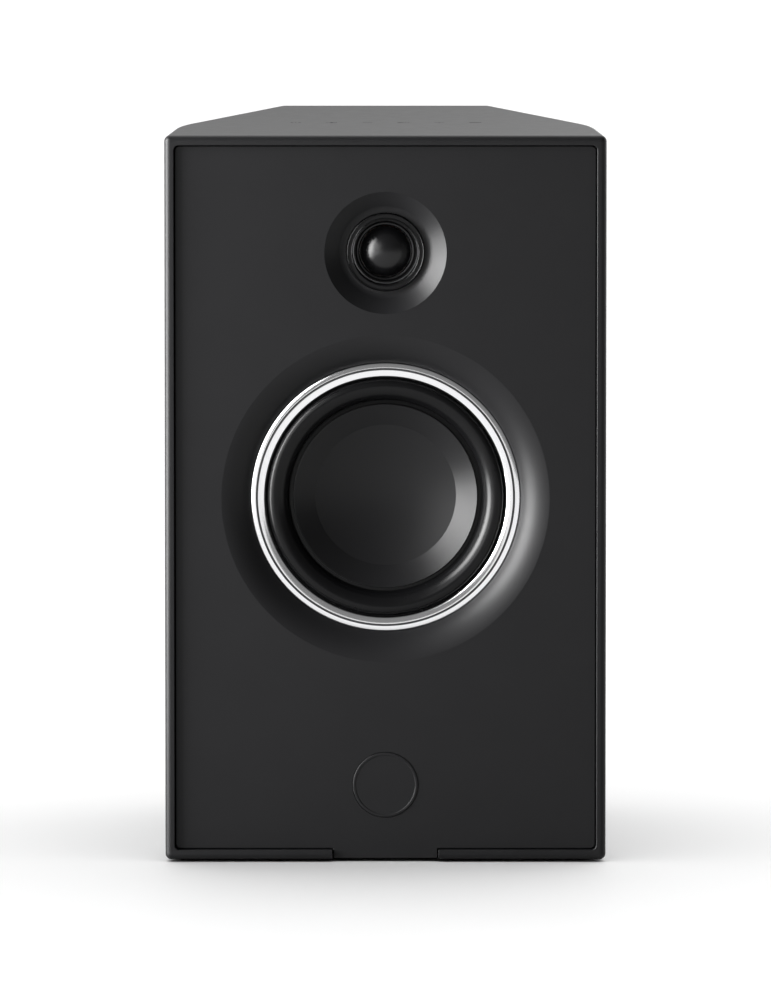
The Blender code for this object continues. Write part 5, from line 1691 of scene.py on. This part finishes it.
    def _rocker_marks(self, hinge: Vector, tilt: float) -> None:
        """Builds the marks at the two ends of the rocker's face.

        Args:
            hinge: A point on the rocker's axis.
            tilt: How far the rocker is tilted as it rests, in radians.
        """
        marks, size, width, apart = Maker(), 0.0013, 0.0003, 0.0042
        for mark, height in ((Mark.ON, apart), (Mark.OFF, -apart)):
            for stroke in mark.strokes():
                outline = ribbon([(size * u, height + size * v) for u, v in stroke], width)
                marks.loft([
                    [self._tilted(hinge, tilt, x, self._rocker_face(v) + lift, v) for x, v in outline]
                    for lift in (-GAP, self.print_lift)
                ])
        self.hand_over(marks.piece("rocker_marks"), WHITE_PLASTIC, "white_plastic", [], "power_rocker")

    def _rocker_face(self, height: float) -> float:
        """How far the rocker's hollow face lies behind its hinge line at a height from its middle."""
        return self.rocker_stand + self.rocker_hollow * (height / self.rocker_half) ** 2

    @staticmethod
    def _tilted(hinge: Vector, tilt: float, x: float, u: float, v: float) -> tuple[float, float, float]:
        """A point of the rocker, turned about its hinge.

        Args:
            hinge: A point on the rocker's axis.
            tilt: The turn, in radians.
            x: The point's place along the axis.
            u: Its place behind the axis.
            v: Its place above the axis.

        Returns:
            The point.
        """
        return (hinge.x + x, hinge.y + u * cos(tilt) - v * sin(tilt), hinge.z + u * sin(tilt) + v * cos(tilt))

    def _button(self) -> None:
        """Builds the push button, with a dished face."""
        place, radius = Extent.of("pairing_button"), self.button_radius
        hollow, edge, step = 0.0003, 0.0003, 0.0010
        face = [(radius * k / 8, place.back - hollow * (1 - (k / 8) ** 2)) for k in range(8)]
        rim = arc((radius - edge, place.back - edge), edge, 90, 0, 5)
        flange = self.plate.front - GAP
        profile = [
            *face,
            *rim,
            (radius, flange),
            (place.radius, flange),
            (place.radius, flange - step),
            (radius / 2, flange - step),
            (radius / 2, place.front),
            (0.0, place.front),
        ]
        button = Maker().revolve(profile, place.x, place.z, SMALL).piece("push_button")
        self.hand_over(button, GREY_PLASTIC, "grey_plastic", ["pairing_button"], "pairing_button")

    def _slider(self) -> None:
        """Builds the slide switch's knob: a ribbed grip on a wider foot behind the plate."""
        place = Extent.of("channel_slider")
        foot, foot_corner, edge, groove, groove_corner, ribs = 0.0016, 0.0002, 0.0003, 0.0003, 0.00005, 4
        flange = self.plate.front - GAP
        levels = [(place.front, 0.0), (flange, 0.0)]
        slider = Maker().block(place.width, place.height, foot_corner, levels, place.x, place.z)
        slider = slider.piece("slide_knob")
        top = eased(flange - foot / 2, place.back, 0.0, edge)
        grip = Maker().block(self.knob, place.height, edge, top, place.x, place.z)
        combine(slider, "UNION", [grip.piece("join_grip")])
        pitch, cutters = self.knob / (ribs + 1), []
        for k in range(ribs):
            x = place.x + (k - (ribs - 1) / 2) * pitch
            levels = [(place.back - groove, 0.0), (place.back + CUT, 0.0)]
            rib = Maker().block(pitch / 2, 2 * place.height, groove_corner, levels, x, place.z)
            cutters.append(rib.piece(f"cut_rib_{k}"))
        combine(slider, "DIFFERENCE", cutters)
        even_out(slider)
        self.hand_over(slider, GREY_PLASTIC, "grey_plastic", ["channel_slider"], "channel_slider")

    def _prints(self) -> None:
        """Builds the printed polarity marks beside the binding posts."""
        prints, aside, size, width = Maker(), 0.0125, 0.0016, 0.0005
        for side, mark in (("red", Mark.PLUS), ("black", Mark.MINUS)):
            post = self.posts[side]
            away = -1 if post.x < 0 else 1
            for stroke in mark.strokes():
                points = [(post.x + away * aside + size * u, post.z + size * v) for u, v in stroke]
                outline = ribbon(points, width)
                depths = (self.plate.back - GAP, self.plate.back + self.print_lift)
                prints.loft([[(x, y, z) for x, z in outline] for y in depths])
        self.hand_over(prints.piece("polarity_marks"), PRINT, "aluminium", [])


@dataclass
class Internals(SubAssembly):
    """The pieces inside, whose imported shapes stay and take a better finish."""

    def build(self) -> None:
        """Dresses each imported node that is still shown."""
        finishes = {
            "rubber": ("baffle_seal", "woofer_lead", "tweeter_lead", "touch_lead"),
            "aluminium": ("woofer_coil_former", "heatsink"),
            "copper": ("woofer_voice_coil", "tweeter_voice_coil"),
            "ferrite": ("woofer_magnet", "tweeter_magnet"),
            "cloth": ("woofer_spider",),
            "board": ("main_board", "touch_board"),
            "foam": ("damping_foam",),
            "grey": ("power_transformer",),
            "black": ("woofer_basket", "filter_capacitor", "pairing_switch_body"),
            "steel": (
                "woofer_top_plate", "woofer_yoke", "tweeter_top_plate", "tweeter_yoke", "channel_switch_body",
                "woofer_screw_1", "woofer_screw_2", "woofer_screw_3", "woofer_screw_4",
            ),
        }
        looks = {
            "rubber": LEAD_RUBBER,
            "aluminium": ALUMINIUM,
            "copper": COPPER,
            "ferrite": FERRITE,
            "cloth": CLOTH,
            "board": SOLDER_MASK,
            "foam": FOAM,
            "grey": GREY_PLASTIC,
            "black": BLACK_PLASTIC,
            "steel": STEEL,
        }
        for look, names in finishes.items():
            for name in names:
                node = frame["nodes"][name]
                for slot in node.material_slots:
                    slot.material = looks[look].material()
                log.info("%s keeps its packed shape, %s", name, looks[look].name)


# ---------------------------------------------------------------- studio
@dataclass(frozen=True)
class Softbox:
    """A soft rectangular light that faces the loudspeaker."""

    name: str
    azimuth: float
    elevation: float
    distance: float
    width: float
    height: float
    power: float
    spread: float

    def place(self, target: Vector, lit: bpy.types.Collection) -> None:
        """Puts the light round the target.

        Args:
            target: The point that it faces.
            lit: The light linking that leaves the floor out.
        """
        data = bpy.data.lights.new(self.name, "AREA")
        data.shape = "RECTANGLE"
        data.size, data.size_y = self.width, self.height
        data.energy, data.spread = self.power, radians(self.spread)
        light = bpy.data.objects.new(self.name, data)
        around, up = radians(self.azimuth), radians(self.elevation)
        away = Vector((sin(around) * cos(up), -cos(around) * cos(up), sin(up)))
        light.location = target + away * self.distance
        light.rotation_euler = away.to_track_quat("Z", "Y").to_euler()
        light.visible_camera = False
        light.light_linking.receiver_collection = lit
        bpy.context.scene.collection.objects.link(light)


@dataclass
class Studio:
    """A pale floor, soft lights, a pale sky and the camera."""

    floor_radius: float = 40.0
    floor_power: float = 2.65
    floor_drop: float = 0.00005
    floor_softness: float = 100.0
    camera_distance: float = 4.0
    camera_height: float = 0.5165
    lens: float = 400.0
    sensor: float = 36.0
    sky_front: float = 0.24
    sky_side: float = 0.18
    sky_back: float = 0.72
    sky_below: float = 1.05

    def build(self) -> None:
        """Builds the studio."""
        low, high = CAD_BOX
        middle = Vector((0.0, low.y, (low.z + high.z) / 2))
        floor = self._floor()
        self._floor_light(floor)
        unlit = self._linking("unlit_floor", floor, "EXCLUDE")
        self._sky()
        lights = (
            Softbox("key_softbox", -76, 12, 0.45, 0.34, 0.60, 8.0, 100),
            Softbox("front_left_softbox", -38, 10, 0.90, 0.50, 0.80, 2.3, 120),
            Softbox("overhead", 180, 60, 1.60, 1.60, 1.60, 12.0, 180),
            Softbox("back_softbox", 152, 20, 1.30, 0.80, 0.90, 7.0, 180),
            Softbox("right_softbox", 112, 15, 1.20, 0.50, 0.90, 4.0, 180),
        )
        for light in lights:
            light.place(middle, unlit)
        self._camera(middle)
        bpy.context.scene.view_settings.view_transform = "Standard"

    def _floor(self) -> bpy.types.Object:
        """Lays the pale floor.

        Returns:
            The floor.
        """
        turns = [2 * pi * k / MEDIUM for k in range(MEDIUM)]
        mesh = bmesh.new()
        radius = self.floor_radius
        corners = [mesh.verts.new((radius * cos(a), radius * sin(a), -self.floor_drop)) for a in turns]
        mesh.faces.new(corners)
        data = bpy.data.meshes.new("floor")
        mesh.to_mesh(data)
        mesh.free()
        floor = bpy.data.objects.new("floor", data)
        bpy.context.scene.collection.objects.link(floor)
        data.materials.append(PALE_FLOOR.material())
        return floor

    @staticmethod
    def _linking(name: str, floor: bpy.types.Object, state: str) -> bpy.types.Collection:
        """Makes a light linking for the floor.

        Args:
            name: The collection's name.
            floor: The floor.
            state: INCLUDE to light the floor alone, EXCLUDE to light everything else.

        Returns:
            The collection that a light takes as its receivers.
        """
        lit = bpy.data.collections.new(name)
        lit.objects.link(floor)
        lit.collection_objects[0].light_linking.link_state = state
        return lit

    def _floor_light(self, floor: bpy.types.Object) -> None:
        """Lights the floor alone, evenly and from straight above, so that it stays white to its edge.

        Args:
            floor: The floor.
        """
        data = bpy.data.lights.new("floor_light", "SUN")
        data.energy, data.angle = self.floor_power, radians(self.floor_softness)
        light = bpy.data.objects.new("floor_light", data)
        light.light_linking.receiver_collection = self._linking("lit_floor", floor, "INCLUDE")
        bpy.context.scene.collection.objects.link(light)

    def _sky(self) -> None:
        """Makes the sky: pale behind the loudspeaker, dimmer in front of it, white below the horizon."""
        world = bpy.data.worlds.new("studio_sky")
        world.use_nodes = True
        tree = world.node_tree
        background = tree.nodes["Background"]
        background.inputs["Color"].default_value = (1.0, 1.0, 1.0, 1.0)
        way = tree.nodes.new("ShaderNodeTexCoord")
        parts = tree.nodes.new("ShaderNodeSeparateXYZ")
        tree.links.new(way.outputs["Generated"], parts.inputs["Vector"])
        ahead = self._spread(tree, parts.outputs["Y"], (-0.95, -0.65), (self.sky_front - self.sky_side, 0.0))
        behind = self._spread(tree, parts.outputs["Y"], (-0.3, 0.6), (self.sky_side, self.sky_back))
        above = tree.nodes.new("ShaderNodeMath")
        tree.links.new(ahead, above.inputs[0])
        tree.links.new(behind, above.inputs[1])
        below = self._spread(tree, parts.outputs["Z"], (-0.03, 0.0), (1.0, 0.0))
        mix = tree.nodes.new("ShaderNodeMix")
        mix.inputs["B"].default_value = self.sky_below
        tree.links.new(below, mix.inputs["Factor"])
        tree.links.new(above.outputs["Value"], mix.inputs["A"])
        tree.links.new(mix.outputs["Result"], background.inputs["Strength"])
        bpy.context.scene.world = world

    @staticmethod
    def _spread(
        tree: bpy.types.NodeTree, value: bpy.types.NodeSocket, span: Pair, result: Pair
    ) -> bpy.types.NodeSocket:
        """Turns a value softly into another.

        Args:
            tree: The nodes that it joins.
            value: The socket that gives the value.
            span: The value's span.
            result: What the ends of the span become.

        Returns:
            The socket with the new value.
        """
        spread = tree.nodes.new("ShaderNodeMapRange")
        spread.interpolation_type = "SMOOTHSTEP"
        spread.inputs["From Min"].default_value, spread.inputs["From Max"].default_value = span
        spread.inputs["To Min"].default_value, spread.inputs["To Max"].default_value = result
        tree.links.new(value, spread.inputs["Value"])
        return spread.outputs["Result"]

    def _camera(self, target: Vector) -> None:
        """Places the camera in front, a little above, tilted down at the loudspeaker's middle.

        Args:
            target: The point that it looks at.
        """
        data = bpy.data.cameras.new("camera")
        data.lens, data.sensor_width = self.lens, self.sensor
        data.clip_end = 100.0
        camera = bpy.data.objects.new("camera", data)
        camera.location = (0.0, target.y - self.camera_distance, self.camera_height)
        camera.rotation_euler = (target - camera.location).to_track_quat("-Z", "Y").to_euler()
        bpy.context.scene.collection.objects.link(camera)
        bpy.context.scene.camera = camera


def main() -> None:
    """Builds the sub-assemblies in order, then the studio."""
    logging.basicConfig(level=logging.INFO, format="%(name)s: %(message)s")
    for part in (CabinetBody(), Baffle(), Woofer(), Tweeter(), ReflexPort(), RearPanel(), Internals()):
        log.info("building %s", type(part).__name__)
        part.build()
    Studio().build()


if __name__ == "__main__":
    main()
